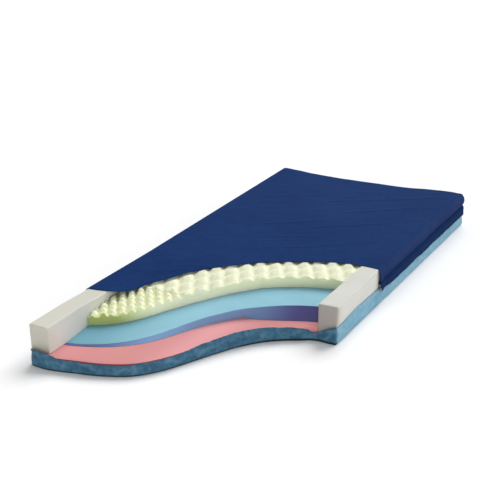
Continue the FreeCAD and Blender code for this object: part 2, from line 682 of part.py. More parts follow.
# --------------------------------------------------------------------------------------- flap
def flap_profiles(body, shift):
    """Three sketches of the flap's section: its bead, its sheet and its folded hem.

    The bead's middle is the line that the flap turns on.  shift moves the section outwards.
    """
    bead = sketch_on(body, "XZ_Plane", "bead")
    circle(bead, shift, "0", "sizes.bead_radius")
    out = "(%s + %s)" % (shift, FLAP_OUT)
    inn = "(%s - sizes.flap_thickness)" % out
    half = "(sizes.flap_thickness / 2)"
    sheet_section = sketch_on(body, "XZ_Plane", "sheet")
    polygon(sheet_section, [(shift, half), (shift, "-" + half), (inn, "-sizes.flap_drop - " + half),
                            (inn, "-sizes.flap_length"), (out, "-sizes.flap_length"),
                            (out, "-sizes.flap_drop")])
    hem = sketch_on(body, "XZ_Plane", "hem")
    edge = "(%s + sizes.hem_thickness)" % out
    hem_top = "(sizes.hem_height - sizes.flap_length)"
    polygon(hem, [(inn, "-sizes.flap_length"), (edge, "-sizes.flap_length"), (edge, hem_top),
                  (inn, hem_top)])
    return [bead, sheet_section, hem]


def straight_flap(label, angle, x, y, length):
    """A straight flap; angle turns its outward side from +X."""
    body = new_body(label)
    for sketch in flap_profiles(body, "0"):
        pad(body, sketch, length)
    body.Placement.Rotation = FreeCAD.Rotation(FreeCAD.Vector(0, 0, 1), angle)
    move(body, x, y, SEAM_HEIGHT)
    return body


def corner_flap(label, angle, x):
    """The flap's part round a head corner: the same section turned by a quarter."""
    body = new_body(label)
    upright = [axis for axis in body.Origin.OriginFeatures if axis.Role == "Z_Axis"][0]
    for sketch in flap_profiles(body, "(sizes.corner_radius + %s)" % SEAM_OUT):
        turn = body.newObject("PartDesign::Revolution", sketch.Name + "_turn")
        turn.Profile = sketch
        turn.ReferenceAxis = (upright, [""])
        turn.Angle = 90
    body.Placement.Rotation = FreeCAD.Rotation(FreeCAD.Vector(0, 0, 1), angle)
    move(body, x, CORNER, SEAM_HEIGHT)
    return body


def zip_flaps():
    """Straight flaps that lift on three sides and the two corner flaps between them."""
    seam = "(%s + %s)" % (HALF, SEAM_OUT)
    near_corner = "(%s - sizes.flap_end_gap)" % CORNER
    corner_x = "(%s - sizes.corner_radius)" % HALF
    head_start = "(sizes.flap_end_gap - %s)" % corner_x
    return [straight_flap("right_zip_flap", 0, seam, near_corner,
                          "%s - %s" % (near_corner, COVER_RIGHT)),
            straight_flap("left_zip_flap", 180, "-" + seam, COVER_LEFT,
                          "%s - %s" % (near_corner, COVER_LEFT)),
            straight_flap("head_zip_flap", 90, head_start, "%s + %s" % (HEAD, SEAM_OUT),
                          "-2 * " + head_start),
            corner_flap("right_corner_flap", 0, corner_x),
            corner_flap("left_corner_flap", 90, "-" + corner_x)]


# --------------------------------------------------------------------------------------- build
pieces = [base_foam(), middle_foam(), convoluted_topper(), side_rail("left_side_rail", -1, RAIL_END),
          side_rail("right_side_rail", 1, "(%s + sizes.right_rail_cut)" % RAIL_END),
          bottom_panel(), front_cover_wall()]
pieces += bottom_cover_walls()
pieces += top_cover()
pieces += zip_strips()
pieces += zip_stops()
pieces += [zip_slider(), tab_stud(), pull_tab()]
pieces += zip_flaps()
doc.recompute()

for thing in doc.Objects:
    if "Invalid" in thing.State or "Error" in thing.State:
        raise ValueError("%s failed: %s" % (thing.Label, thing.State))
for piece in pieces:
    if piece.Shape.isNull() or not piece.Shape.isValid():
        raise ValueError("%s has no valid shape" % piece.Label)

os.makedirs("parts", exist_ok=True)
for piece in pieces:
    piece.Shape.exportStep("parts/%s.step" % piece.Label)
    bounds = piece.Shape.BoundBox
    print("%-20s %d solid(s) %10.1f cm3  x %7.1f..%7.1f  y %7.1f..%7.1f  z %6.1f..%6.1f" % (
        piece.Label, len(piece.Shape.Solids), piece.Shape.Volume / 1000,
        bounds.XMin, bounds.XMax, bounds.YMin, bounds.YMax, bounds.ZMin, bounds.ZMax))
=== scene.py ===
"""The looks of a pressure relief mattress that is shown cut open at its foot end.

Foam layers, fabric covers and the zip are worked out as surfaces on grids, from the boxes and the cut
lines of the CAD nodes that they stand for.  Everything is in metres in the frame of the part: X across,
Y along to the head end, Z up.
"""
import math

import bmesh
import bpy
import numpy as np
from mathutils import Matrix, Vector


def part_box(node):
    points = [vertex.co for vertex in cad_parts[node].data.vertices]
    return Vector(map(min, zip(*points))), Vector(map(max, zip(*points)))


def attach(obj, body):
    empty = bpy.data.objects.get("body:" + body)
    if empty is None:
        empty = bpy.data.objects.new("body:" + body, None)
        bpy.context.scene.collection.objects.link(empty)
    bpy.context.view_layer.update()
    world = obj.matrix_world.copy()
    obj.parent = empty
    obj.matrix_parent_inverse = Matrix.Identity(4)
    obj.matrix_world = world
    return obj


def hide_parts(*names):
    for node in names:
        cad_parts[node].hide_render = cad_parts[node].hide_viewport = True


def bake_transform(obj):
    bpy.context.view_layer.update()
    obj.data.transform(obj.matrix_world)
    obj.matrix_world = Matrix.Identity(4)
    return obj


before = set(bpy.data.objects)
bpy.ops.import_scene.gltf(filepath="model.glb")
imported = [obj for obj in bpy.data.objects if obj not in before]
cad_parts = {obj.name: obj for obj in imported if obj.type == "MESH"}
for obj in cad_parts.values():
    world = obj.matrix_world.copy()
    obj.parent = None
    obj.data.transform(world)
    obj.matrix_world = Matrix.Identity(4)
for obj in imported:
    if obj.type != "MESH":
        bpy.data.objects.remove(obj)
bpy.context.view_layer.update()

MM = 0.001

# ------------------------------------------------------------------------------ places and sizes
HALF_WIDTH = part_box("right_cover_wall")[1].x
HEAD_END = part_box("head_cover_wall")[1].y
COVER_CORNER = 18 * MM                      # radius of the cover's upright corners at the head end
FOAM_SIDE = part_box("base_foam")[1].x
FOAM_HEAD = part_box("base_foam")[1].y
FOAM_CORNER = COVER_CORNER - (HALF_WIDTH - FOAM_SIDE)
FRONT_LEFT_CORNER = 14 * MM                 # rounding of the base and its cover at the front left
FRONT_ROOM = 4 * MM                         # for the folds of the cover in front of the base
BASE_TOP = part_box("base_foam")[1].z
MIDDLE_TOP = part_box("middle_foam")[1].z
LAYER_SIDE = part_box("middle_foam")[1].x
FOAM_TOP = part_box("convoluted_topper")[1].z
RAIL_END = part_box("left_side_rail")[0].y
RIGHT_RAIL_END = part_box("right_side_rail")[0].y
RAIL_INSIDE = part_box("right_side_rail")[0].x
RAIL_TOE_LENGTH = 26 * MM                   # of the right rail's end that hangs over the base's cut
RAIL_TOE_DROP = 17 * MM
CORNER_X = HALF_WIDTH - COVER_CORNER        # middle of the cover's corner at the head end
CORNER_Y = HEAD_END - COVER_CORNER
COVER_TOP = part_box("top_panel")[1].z
COVER_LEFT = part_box("left_border")[0].y     # the top cover's cut edge at the left side
COVER_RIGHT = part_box("right_border")[0].y
FLAP_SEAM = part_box("right_zip_flap")[1].z
FABRIC = 0.8 * MM
COVER_GAP = 0.6 * MM                        # between the foam and the fabric over it

HEEL_START = RAIL_END + 105 * MM            # foot end of the middle layer's slope
HEEL_END = RAIL_END + 770 * MM              # where that slope reaches the full height
HEEL_FOOT = 4 * MM                          # the middle layer's thickness at that slope's foot end
HEEL_SLOPE = (MIDDLE_TOP - BASE_TOP - HEEL_FOOT) / (HEEL_END - HEEL_START)
TOPPER_HEIGHT = 50 * MM                     # from the middle layer to the peaks
FINE_PITCH = (39.5 * MM, 67 * MM)           # heel zone: from peak to peak across, and over two rows along
FINE_DEPTH = 18 * MM                        # its grooves below the peaks
WIDE_PITCH = (65 * MM, 128 * MM)            # the rest of the topper
WIDE_DEPTH = 11 * MM
WIDE_CROSSING = 0.72                        # the shallower family of its grooves, as a share of that depth
FINE_END = RAIL_END + 540 * MM              # where the heel zone's finer bumps give way to the wide ones
FINE_PEAK = (-327 * MM, -651 * MM)          # each pattern has a peak here
WIDE_PEAK = (67 * MM, -139 * MM)


# ------------------------------------------------------------------------------ curves and noise
def smoothstep(value):
    """0 below 0, 1 above 1 and an even S between them: 3 v squared less 2 v cubed."""
    value = np.clip(value, 0, 1)
    return value * value * (3 - 2 * value)


def ripple(a, b, wavelength, seed, waves=8):
    """Smooth unevenness, mostly between -1 and 1: sine waves near one wavelength, in random directions."""
    random = np.random.default_rng(seed)
    total = 0
    for _ in range(waves):
        turn, phase = random.uniform(0, math.tau, 2)
        pace = math.tau / (wavelength * random.uniform(0.7, 1.5))
        total = total + np.sin((a * math.cos(turn) + b * math.sin(turn)) * pace + phase)
    return total / math.sqrt(waves)


def crease(a, b, start, end, width):
    """Share of a fold's height at (a, b): a bell of that width across the fold, faded at its two ends."""
    run = (end[0] - start[0], end[1] - start[1])
    length = math.hypot(*run)
    share = ((a - start[0]) * run[0] + (b - start[1]) * run[1]) / length ** 2
    off = ((a - start[0]) * run[1] - (b - start[1]) * run[0]) / length
    fade = np.clip(1 - np.abs(2 * share - 1) ** 3, 0, 1)
    return np.exp(-(off / width) ** 2) * fade


def creased(creases, a, b, unit):
    """Height of a list of creases at (a, b).

    Each has a start and an end in that unit, and a height and a width in millimetres.
    """
    total = 0
    for start, end, height, width in creases:
        start, end = [(place[0] * unit, place[1] * unit) for place in (start, end)]
        total = total + height * MM * crease(a, b, start, end, width * MM)
    return total


def smooth_line(xs, ys):
    """A smooth function through points: Hermite cubics whose slopes are the harmonic mean of the chords'."""
    steps = np.diff(xs)
    chords = np.diff(ys) / steps
    before, after = chords[:-1], chords[1:]
    same_way = before * after > 0
    total = np.where(same_way, before + after, 1)
    slopes = np.concatenate([chords[:1], np.where(same_way, 2 * before * after / total, 0), chords[-1:]])

    def line(x):
        x = np.clip(x, xs[0], xs[-1])
        span = np.clip(np.searchsorted(xs, x) - 1, 0, len(steps) - 1)
        share = (x - xs[span]) / steps[span]
        rise = share * share * (3 - 2 * share)
        lead = share * (1 - share) ** 2 * steps[span] * slopes[span]
        trail = share * share * (1 - share) * steps[span] * slopes[span + 1]
        return ys[span] * (1 - rise) + ys[span + 1] * rise + lead - trail

    return line


def through(*places):
    """A smooth line through places given in millimetres."""
    xs, ys = np.array(places).T * MM
    return smooth_line(xs, ys)


def points_of(mesh):
    """A mesh's points as rows of coordinates."""
    points = np.empty(3 * len(mesh.vertices))
    mesh.vertices.foreach_get("co", points)
    return points.reshape(-1, 3)


def cut_line(node_name, height):
    """A layer's cut edge as a function of x: the foremost corners of the CAD node's face at that height.

    height is a function of y, because some faces slope.
    """
    corners = points_of(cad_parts[node_name].data)
    on_face = np.abs(corners[:, 2] - height(corners[:, 1])) < 0.1 * MM
    in_front = corners[:, 1] < HEAD_END / 4
    corners = corners[on_face & in_front]
    places = corners[:, 0].round(4)
    xs = np.unique(places)
    return smooth_line(xs, np.array([corners[places == x, 1].min() for x in xs]))


def stations(side, lines, count):
    """Places from -side to side, spaced evenly along whichever line across the piece is the steepest."""
    fine = np.linspace(-side, side, 6001)
    pace = np.max([np.hypot(np.diff(fine), np.diff(line(fine))) for line in lines], axis=0)
    travelled = np.concatenate([[0], np.cumsum(pace)])
    return np.interp(np.linspace(0, travelled[-1], count), travelled, fine)


def head_line(side, head, corner):
    """The head end of a layer as a function of x: straight, with a quarter circle at each corner."""
    def line(x):
        past = np.clip(np.abs(x) - (side - corner), 0, corner)
        return head - corner + np.sqrt(corner ** 2 - past ** 2)
    return line


def middle_height(y):
    """Top of the middle layer: level, with a straight slope down to the heels."""
    return MIDDLE_TOP - HEEL_SLOPE * np.clip(HEEL_END - y, 0, None)


# ------------------------------------------------------------------------------ meshes
def quads(rows, columns, closed_rows=False, closed_columns=False):
    """The four corner numbers of every quad of a grid whose points are numbered row by row."""
    row = np.arange(rows if closed_rows else rows - 1)
    column = np.arange(columns if closed_columns else columns - 1)
    row, column = np.meshgrid(row, column, indexing="ij")
    after_row, after_column = (row + 1) % rows, (column + 1) % columns
    ring = [row * columns + column, after_row * columns + column,
            after_row * columns + after_column, row * columns + after_column]
    return np.stack(ring, axis=-1).reshape(-1, 4)


def new_piece(name, points, faces, flat_faces=(), uv=None):
    """A mesh object from points, quads and flat end faces; uv is a place on the flat cloth for each point."""
    mesh = bpy.data.meshes.new(name)
    rings = faces.tolist() + [list(ring) for ring in flat_faces]
    mesh.from_pydata(points.reshape(-1, 3).tolist(), [], rings)
    smooth = np.ones(len(rings), bool)
    smooth[len(faces):] = False
    mesh.polygons.foreach_set("use_smooth", smooth)
    if uv is not None:
        corner_points = np.empty(len(mesh.loops), int)
        mesh.loops.foreach_get("vertex_index", corner_points)
        cloth = mesh.uv_layers.new(name="cloth")
        cloth.data.foreach_set("uv", uv.reshape(-1, 2)[corner_points].ravel())
    mesh.update()
    piece = bpy.data.objects.new(name, mesh)
    bpy.context.scene.collection.objects.link(piece)
    return piece


def keep_painted_shading(piece, values):
    """Keep a value of painted light and shade for each of the piece's points, which its material turns to a
    painted colour.
    """
    kept = piece.data.attributes.new("painted_shading", "FLOAT", "POINT")
    kept.data.foreach_set("value", values.ravel())


def thicken(piece, thickness):
    """Give a sheet its thickness, behind its faces."""
    solid = piece.modifiers.new("thickness", "SOLIDIFY")
    solid.thickness = thickness
    solid.offset = -1
    return piece


def sliced(piece, low, high, spacing):
    """Cut the piece's faces along even sections and levels of a box, so that it can be bent between them.

    spacing is the distance between two sections along Y and between two levels up Z.
    """
    mesh = bmesh.new()
    mesh.from_mesh(piece.data)
    for axis, step in ((1, spacing[0]), (2, spacing[1])):
        normal = [0, 0, 0]
        normal[axis] = 1
        for place in np.arange(low[axis] + step, high[axis], step):
            everything = mesh.verts[:] + mesh.edges[:] + mesh.faces[:]
            bmesh.ops.bisect_plane(mesh, geom=everything, plane_co=[place * share for share in normal],
                                   plane_no=normal)
    mesh.to_mesh(piece.data)
    mesh.free()


def bend_points(piece, bend):
    """Move a piece's points: bend takes and returns rows of coordinates."""
    piece.data.vertices.foreach_set("co", bend(points_of(piece.data)).ravel())
    piece.data.update()
    return piece


def rounded_stations(across, radius, turn):
    """Places across a block, with more past both ends, and how far each one's section shrinks all round.

    The sections past the ends follow a quarter circle, at the angles of turn.
    """
    past = radius * np.sin(turn[1:])
    shrink = radius * (1 - np.cos(turn[1:]))
    x = np.concatenate([(across[0] - past)[::-1], across, across[-1] + past])
    inset = np.concatenate([shrink[::-1], np.zeros(len(across)), shrink])
    return x[:, None], inset[:, None]


def foam_block(name, across, front, back, bottom, top, radius, along, painted_shading, up=6):
    """A foam block as closed sections across Y and Z, one for each station across X.

    Each section runs up the front, back along the top, down the back and forward along the underside,
    with a quarter circle of that radius at its four corners.  front(x, share) gives the cut from its foot
    (share 0) to its top (share 1), along the shares of the top's points.  The last sections at both sides
    shrink along a quarter circle too, and flat faces close them.  up is the number of even levels on the
    front and the back.  The shading function, of (x, y, z, on_face), gives the painted light and shade
    that is kept on the points for the material; on_face is 1 on the cut face and fades to 0 over its
    rounded lip.
    """
    turn = np.linspace(0, math.pi / 2, 5)
    x, inset = rounded_stations(across, radius, turn)
    corner = turn[None, 1:-1]
    leaving = radius * (1 - np.cos(corner))         # from the line that the quarter circle starts on
    arriving = radius * (1 - np.sin(corner))        # and to the line that it ends on
    levels = np.concatenate([[0, 0.04], np.linspace(0.1, 0.9, up), [0.96, 1]])[None, :]
    end = back(x) - inset
    foot_y = front(x, 0.0) + inset
    lip_y = front(x, 1.0) + inset
    foot_z = bottom(x, foot_y) + inset
    lip_z = top(x, lip_y + radius) - inset
    back_top, back_foot = top(x, end - radius) - inset, bottom(x, end) + inset
    top_y = lip_y + radius + along[None, :] * (end - lip_y - 2 * radius)
    under_y = foot_y + radius + np.linspace(1, 0, 24)[None, :] * (end - foot_y - 2 * radius)

    def part(y, z):
        return np.stack(np.broadcast_arrays(x, y, z), axis=-1)

    face = part(front(x, levels) + inset, foot_z + radius + levels * (lip_z - foot_z - 2 * radius))
    lip = part(lip_y + leaving, lip_z - arriving)
    upper = part(top_y, top(x, top_y) - inset)
    shoulder = part(end - arriving, back_top - leaving)
    rear = part(end, back_top - radius - levels * (back_top - back_foot - 2 * radius))
    heel = part(end - leaving, back_foot + arriving)
    under = part(under_y, bottom(x, under_y) + inset)
    toe = part(foot_y + arriving, foot_z + leaving)
    points = np.concatenate([face, lip, upper, shoulder, rear, heel, under, toe], axis=1)
    rows, columns = points.shape[:2]
    faces = quads(rows, columns, closed_columns=True)[:, ::-1]
    ends = [np.arange(columns), (rows - 1) * columns + np.arange(columns)[::-1]]
    piece = new_piece(name, points, faces, flat_faces=ends)
    on_face = np.zeros((1, columns))
    on_face[0, :face.shape[1]] = 1
    on_face[0, face.shape[1]:face.shape[1] + lip.shape[1]] = 1 - np.sin(corner[0])
    keep_painted_shading(piece, painted_shading(points[..., 0], points[..., 1], points[..., 2], on_face))
    return piece


# ------------------------------------------------------------------------------ foam core
base_cut = cut_line("base_foam", lambda y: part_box("base_foam")[0].z)
middle_foot_cut = cut_line("middle_foam", lambda y: BASE_TOP)
middle_top_cut = cut_line("middle_foam", middle_height)
topper_cut = cut_line("convoluted_topper", middle_height)
cover_cut = cut_line("top_panel", lambda y: COVER_TOP)
front_cut = cut_line("bottom_panel", lambda y: 0.0)

# How far the waves of the bottom cover's cut edge lie behind its CAD line, across X.
front_shift = through((-457, 0), (-380, 3), (-329, 10), (-274, 14), (-221, 10), (-145, 3), (-65, -6),
                      (-17, -8), (23, -10), (61, -13), (100, -9), (142, 6), (191, 4), (253, -7), (318, -10),
                      (358, 0), (423, -10))


def front_line(x):
    """The cut through the bottom cover and the base: the CAD node's line and the waves of its soft edge."""
    return front_cut(x) + front_shift(x)


DISH_DEPTH = 14 * MM                        # of the top cover's hollow towards the head end
DISH_RISE = 4.5 * MM                        # of the hollow's floor towards its right edge
CORNER_DROP = 4.5 * MM                      # of the right head corner


def sag(x, y):
    """How far the top cover lies below the foam's full height.

    It follows the topper down its heel slope between the rails, and it lies in a shallow uneven dish towards
    the head end, where the right corner is rounded off.
    """
    between_rails = smoothstep((RAIL_INSIDE - np.abs(x)) / (70 * MM))
    over_heels = 0.8 * HEEL_SLOPE * np.clip(HEEL_END - y, 0, None)
    towards_head = smoothstep((y - HEAD_END + 0.75) / 0.7)
    dish = DISH_DEPTH * (1 - np.clip(np.abs(x) / HALF_WIDTH, 0, 1) ** 2.6)
    dish = dish - DISH_RISE * np.exp(-((x - 0.30) / 0.09) ** 2)
    corner = CORNER_DROP * smoothstep((x - 0.39) / 0.06) * smoothstep((y - HEAD_END + 0.12) / 0.1)
    return (1.0 * MM + over_heels) * between_rails + towards_head * dish + corner


def under_cover(x, y, height):
    """A foam top's height, pressed down where the cover lies lower."""
    return np.minimum(height, COVER_TOP - FABRIC - COVER_GAP - sag(x, y))


def groove_share(x, y, pitch, peak, crossing):
    """How far a staggered pattern of bumps lies below its peaks, as a share of its grooves' depth.

    Two families of grooves cross between the peaks, and crossing is the shallower family's share of the
    depth.  Across each, 1 - s squared is a bump's share of the height, where s turns from 0 on the bumps to 1
    in the grooves as half a cosine, so that the bumps are broad and the grooves narrow and rounded.
    """
    height = 1
    for way, share in ((-1, crossing), (1, 1.0)):
        phase = (x - peak[0]) / pitch[0] + way * (y - peak[1]) / pitch[1]
        height = height * (1 - share * (0.5 - 0.5 * np.cos(math.tau * phase)) ** 2)
    return 1 - height


def topper_height(x, y):
    """Top of the topper: its bumps on the slope, deep and fine under the heels and wide behind them."""
    fine = FINE_DEPTH * groove_share(x, y, FINE_PITCH, FINE_PEAK, 1.0)
    wide = WIDE_DEPTH * groove_share(x, y, WIDE_PITCH, WIDE_PEAK, WIDE_CROSSING)
    share = smoothstep((y - FINE_END) / (30 * MM) + 0.5)
    bumps = middle_height(y) + TOPPER_HEIGHT - fine * (1 - share) - wide * share
    return under_cover(x, y, bumps)


def topper_painted_shading(x, y, z, on_face):
    """Painted shading: from 0 at the peaks it rises down the grooves, first to a paler tone of painted light
    that lifts their shade, then in the deep grooves to an olive painted shade.  The cut face takes the paler
    tone as painted light, and painted shade deepest at its left end and its foot.
    """
    below = 1 - (z - middle_height(y)) / TOPPER_HEIGHT
    at_left = smoothstep((-0.16 - x) / 0.16)
    face = 0.36 + 0.12 * below + 0.64 * at_left - 0.12 * smoothstep(x / 0.2)
    return np.clip((1.5 + 0.8 * at_left) * below * (1 - on_face) + face * on_face, 0, 1)


def middle_painted_shading(x, y, z, on_face):
    """Painted shading: the top takes a painted shade towards the left, beside the rail; the cut face takes a
    painted violet shade, deep at both ends and lighter between them.
    """
    top = 1 / 3 * smoothstep((-0.05 - x) / 0.3)
    ends = np.maximum(smoothstep((x - 0.05) / 0.24), 0.9 * smoothstep((-0.08 - x) / 0.22))
    return top * (1 - on_face) + (2 / 3 + 1 / 3 * ends) * on_face


def base_painted_shading(x, y, z, on_face):
    """Painted shading: painted light makes the top palest at the middle; the cut face takes a deep red
    painted shade, but not beside the right rail.
    """
    top = 0.36 * np.exp(-((x - 0.05) / 0.09) ** 2)
    return top * (1 - on_face) + (1 - 0.38 * smoothstep((x - 0.15) / 0.12)) * on_face


def base_piece():
    """The base layer; its front left corner is rounded in plan."""
    back = head_line(FOAM_SIDE, FOAM_HEAD, FOAM_CORNER)
    radius = 2 * MM

    def front(x, share):
        """The upright cut, rounded back at the left corner and held back behind the right rail's toe."""
        past = np.clip((-x - FOAM_SIDE + FRONT_LEFT_CORNER) / FRONT_LEFT_CORNER, 0, 0.98)
        corner = FRONT_LEFT_CORNER * (1 - np.sqrt(1 - past ** 2))
        open_cut = base_cut(x) + front_shift(x) + FRONT_ROOM + corner
        beside_toe = smoothstep((x - RAIL_INSIDE + 0.5 * MM) / (1 * MM))
        return open_cut * (1 - beside_toe) + (RIGHT_RAIL_END + RAIL_TOE_LENGTH) * beside_toe

    across = stations(FOAM_SIDE - radius, [lambda x: front(x, 0), back], 170)
    return foam_block("base_layer", across, front, back, lambda x, y: FABRIC, lambda x, y: BASE_TOP,
                      radius, np.linspace(0, 1, 90), painted_shading=base_painted_shading)


# How far the middle layer's foot runs out beyond its cut, and how far the cuts above it step back, across X.
middle_toe = through((-450, 15), (-350, 17), (-295, 15), (-246, 18), (-202, 22), (-149, 27), (-103, 33),
                     (-63, 29), (-22, 18), (27, 5), (62, -10), (85, -18), (112, -9), (150, 2), (450, 0))
step_back = through((-450, -4), (20, -3), (80, 9), (210, 11), (300, 9), (450, 6))


def middle_piece():
    """The middle layer, level under the body and sloping down under the heels to its cut."""
    radius = 1.5 * MM
    back = head_line(LAYER_SIDE, FOAM_HEAD, radius)
    across = stations(LAYER_SIDE - radius, [middle_top_cut], 140)

    def front(x, share):
        """The cut face: its foot runs out in a toe at the left."""
        foot, lip = middle_foot_cut(x) - middle_toe(x), middle_top_cut(x) + step_back(x)
        return foot * (1 - share) + lip * share

    return foam_block("heel_slope_layer", across, front, back, lambda x, y: BASE_TOP,
                      lambda x, y: middle_height(y), radius, np.linspace(0, 1, 120), painted_shading=middle_painted_shading)


def topper_piece():
    """The topper; its points lie closer together in the part that the cover leaves bare."""
    radius = 1.2 * MM
    bare = 0.42                             # of the topper's length
    back = head_line(LAYER_SIDE, FOAM_HEAD, radius)
    across = stations(LAYER_SIDE - radius, [topper_cut], 215)
    along = np.concatenate([np.linspace(0, bare, 190), np.linspace(bare, 1, 150)[1:]])
    return foam_block("convoluted_layer", across, lambda x, share: topper_cut(x) + step_back(x), back,
                      lambda x, y: middle_height(y), topper_height, radius, along, up=8,
                      painted_shading=topper_painted_shading)


LEFT_LEAN = 8.5 * MM                        # of the left rail's outer top edge at its bare end
LEFT_SWELL = 3 * MM                         # of that edge above the CAD rail's top
RIGHT_LEAN = 3.5 * MM


def splay(y):
    """How far the left rail's outer top edge leans out: most where it is bare, none far under the cover."""
    return LEFT_LEAN * smoothstep((COVER_LEFT + 0.5 - y) / 0.55)


def splayed_rail(points):
    """The left rail leans outwards above the base where no cover holds it, and swells a little.

    Under the cover it leans a little less than the cover does, so that it stays inside.
    """
    x, y, z = points[..., 0], points[..., 1], points[..., 2]
    across = np.clip((-x - RAIL_INSIDE) / (FOAM_SIDE - RAIL_INSIDE), 0, 1)
    up = (z - BASE_TOP) / (FOAM_TOP - BASE_TOP)
    bare = smoothstep((COVER_LEFT - 0.02 - y) / 0.15)
    held = 0.78 * across * smoothstep(2 * up - 1)
    free = 0.8 * up * (1 - across) + (0.5 + 0.5 * up) * across
    lean = splay(y) * (held * (1 - bare) + free * bare)
    return np.stack([x - lean, y, z + LEFT_SWELL * up * bare * across], axis=-1)


def leaning_rail(points):
    """The bare end of the right rail leans a little outwards."""
    x, y, z = points[..., 0], points[..., 1], points[..., 2]
    across = np.clip((x - RAIL_INSIDE) / (FOAM_SIDE - RAIL_INSIDE), 0, 1)
    up = (z - BASE_TOP) / (FOAM_TOP - BASE_TOP)
    bare = smoothstep((COVER_RIGHT + 0.03 - y) / 0.2)
    return np.stack([x + RIGHT_LEAN * up * across * bare, y, z], axis=-1)


def rail_piece(name, node_name, bend, painted_end_shade, painted_top_shade, toe_drop=0.0):
    """A side rail: a block in its CAD node's box, pressed down under the cover and then bent.

    toe_drop is how far the underside comes down at the end, in front of the base's cut.  The two numbers
    before it scale the painted shade on the cut end and on the top and the outer side.
    """
    low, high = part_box(node_name)
    radius = 3 * MM
    across = np.linspace(low.x + radius, high.x - radius, 16)

    def painted_shading(x, y, z, on_face):
        """Painted shade: deep on the cut end, paler on the top and the outer side, none on the inner side."""
        outside = smoothstep((np.abs(x) - RAIL_INSIDE) / (12 * MM))
        return painted_end_shade * (on_face + painted_top_shade * outside * (1 - on_face))

    rail = foam_block(name, across, lambda x, share: low.y, head_line(FOAM_SIDE, FOAM_HEAD, FOAM_CORNER),
                      lambda x, y: low.z - toe_drop * smoothstep(1.5 - 1.6 * (y - low.y) / RAIL_TOE_LENGTH),
                      lambda x, y: under_cover(x, y, high.z), radius, np.linspace(0, 1, 120), painted_shading=painted_shading)
    sliced(rail, low, high, spacing=(60 * MM, 12 * MM))
    return bend_points(rail, bend)


# ------------------------------------------------------------------------------ cover: paths
def line_path(start, end, spacing):
    """A straight stretch in plan: even places along it and the direction to its right."""
    length = math.dist(start, end)
    share = np.linspace(0, 1, max(2, round(length / spacing) + 1))[:, None]
    places = np.array(start) * (1 - share) + np.array(end) * share
    outward = np.array([end[1] - start[1], start[0] - end[0]]) / length
    return places, np.broadcast_to(outward, places.shape)


def arc_path(middle, radius, first, last, spacing):
    """A stretch of a circle in plan, anticlockwise between two angles, with the directions outwards."""
    count = max(4, round(abs(last - first) * radius / spacing) + 1)
    angle = np.linspace(first, last, count)
    outward = np.stack([np.cos(angle), np.sin(angle)], axis=-1)
    return np.array(middle) + radius * outward, outward


def join(*paths):
    """Paths end to end, without their doubled ends, and the distance along the whole."""
    places = np.concatenate([paths[0][0]] + [path[0][1:] for path in paths[1:]])
    outward = np.concatenate([paths[0][1]] + [path[1][1:] for path in paths[1:]])
    steps = np.hypot(*np.diff(places, axis=0).T)
    return places, outward, np.concatenate([[0], np.cumsum(steps)])


def three_sides(right_start, left_start, spacing):
    """The cover's wall line up the right side, across the head end and down the left side."""
    return join(line_path((HALF_WIDTH, right_start), (HALF_WIDTH, CORNER_Y), spacing),
                arc_path((CORNER_X, CORNER_Y), COVER_CORNER, 0, math.pi / 2, spacing / 2),
                line_path((CORNER_X, HEAD_END), (-CORNER_X, HEAD_END), spacing),
                arc_path((-CORNER_X, CORNER_Y), COVER_CORNER, math.pi / 2, math.pi, spacing / 2),
                line_path((-HALF_WIDTH, CORNER_Y), (-HALF_WIDTH, left_start), spacing))


def all_round(left_corner, right_corner, spacing):
    """The bottom cover's closed wall line: three_sides and then the front cut from left to right.

    A parabola through each corner's own tip rounds it, from left_corner or right_corner behind the front.
    """
    left, right = front_line(-HALF_WIDTH), front_line(HALF_WIDTH)
    sides = three_sides(right + right_corner, left + left_corner, spacing)[0]
    across = stations(HALF_WIDTH, [front_line], 500)
    across = across[(across > left_corner - HALF_WIDTH) & (across < HALF_WIDTH - right_corner)]
    front = np.stack([across, front_line(across)], axis=-1)
    share = np.linspace(0, 1, 12)[1:-1, None]
    corners = []
    for start, tip, end in ((sides[-1], (-HALF_WIDTH, left), front[0]),
                            (front[-1], (HALF_WIDTH, right), sides[0])):
        corners.append((1 - share) ** 2 * start + 2 * share * (1 - share) * np.array(tip)
                       + share ** 2 * end)
    rough = np.concatenate([sides, corners[0], front, corners[1], sides[:1]])
    travelled = np.concatenate([[0], np.cumsum(np.hypot(*np.diff(rough, axis=0).T))])
    along = np.linspace(0, travelled[-1], round(travelled[-1] / spacing) + 1)[:-1]
    places = np.stack([np.interp(along, travelled, rough[:, axis]) for axis in (0, 1)], axis=-1)
    heading = np.roll(places, -2, axis=0) - np.roll(places, 2, axis=0)
    heading /= np.hypot(*heading.T)[:, None]
    return places, np.stack([heading[:, 1], -heading[:, 0]], axis=-1), along


def swept(path, depth, height):
    """Points of a profile carried along a path: depth is outwards from it and height above the floor."""
    places, outward = path[0], path[1]
    plan = places[:, None, :] + outward[:, None, :] * depth[..., None]
    return np.concatenate([plan, np.broadcast_to(height, depth.shape)[..., None]], axis=-1)


def strip_piece(name, path, depth, height, closed_path=False, closed_profile=False, flip=False):
    """A swept strip as a mesh, with its cloth coordinates in metres along its middle and across it."""
    points = swept(path, depth, height)
    rows, columns = points.shape[:2]
    faces = quads(rows, columns, closed_path, closed_profile)
    ends = []
    if closed_profile and not closed_path:
        ends = [np.arange(columns)[::-1], (rows - 1) * columns + np.arange(columns)]
    steps = np.hypot(*np.diff(np.stack([depth, np.broadcast_to(height, depth.shape)]), axis=2))
    across = np.concatenate([np.zeros((rows, 1)), np.cumsum(steps, axis=1)], axis=1)
    middle = np.linalg.norm(np.diff(points[:, columns // 2], axis=0), axis=1)
    along = np.broadcast_to(np.concatenate([[0], np.cumsum(middle)])[:, None], depth.shape)
    return new_piece(name, points, faces[:, ::-1] if flip else faces, flat_faces=ends,
                     uv=np.stack([along, across], axis=-1))


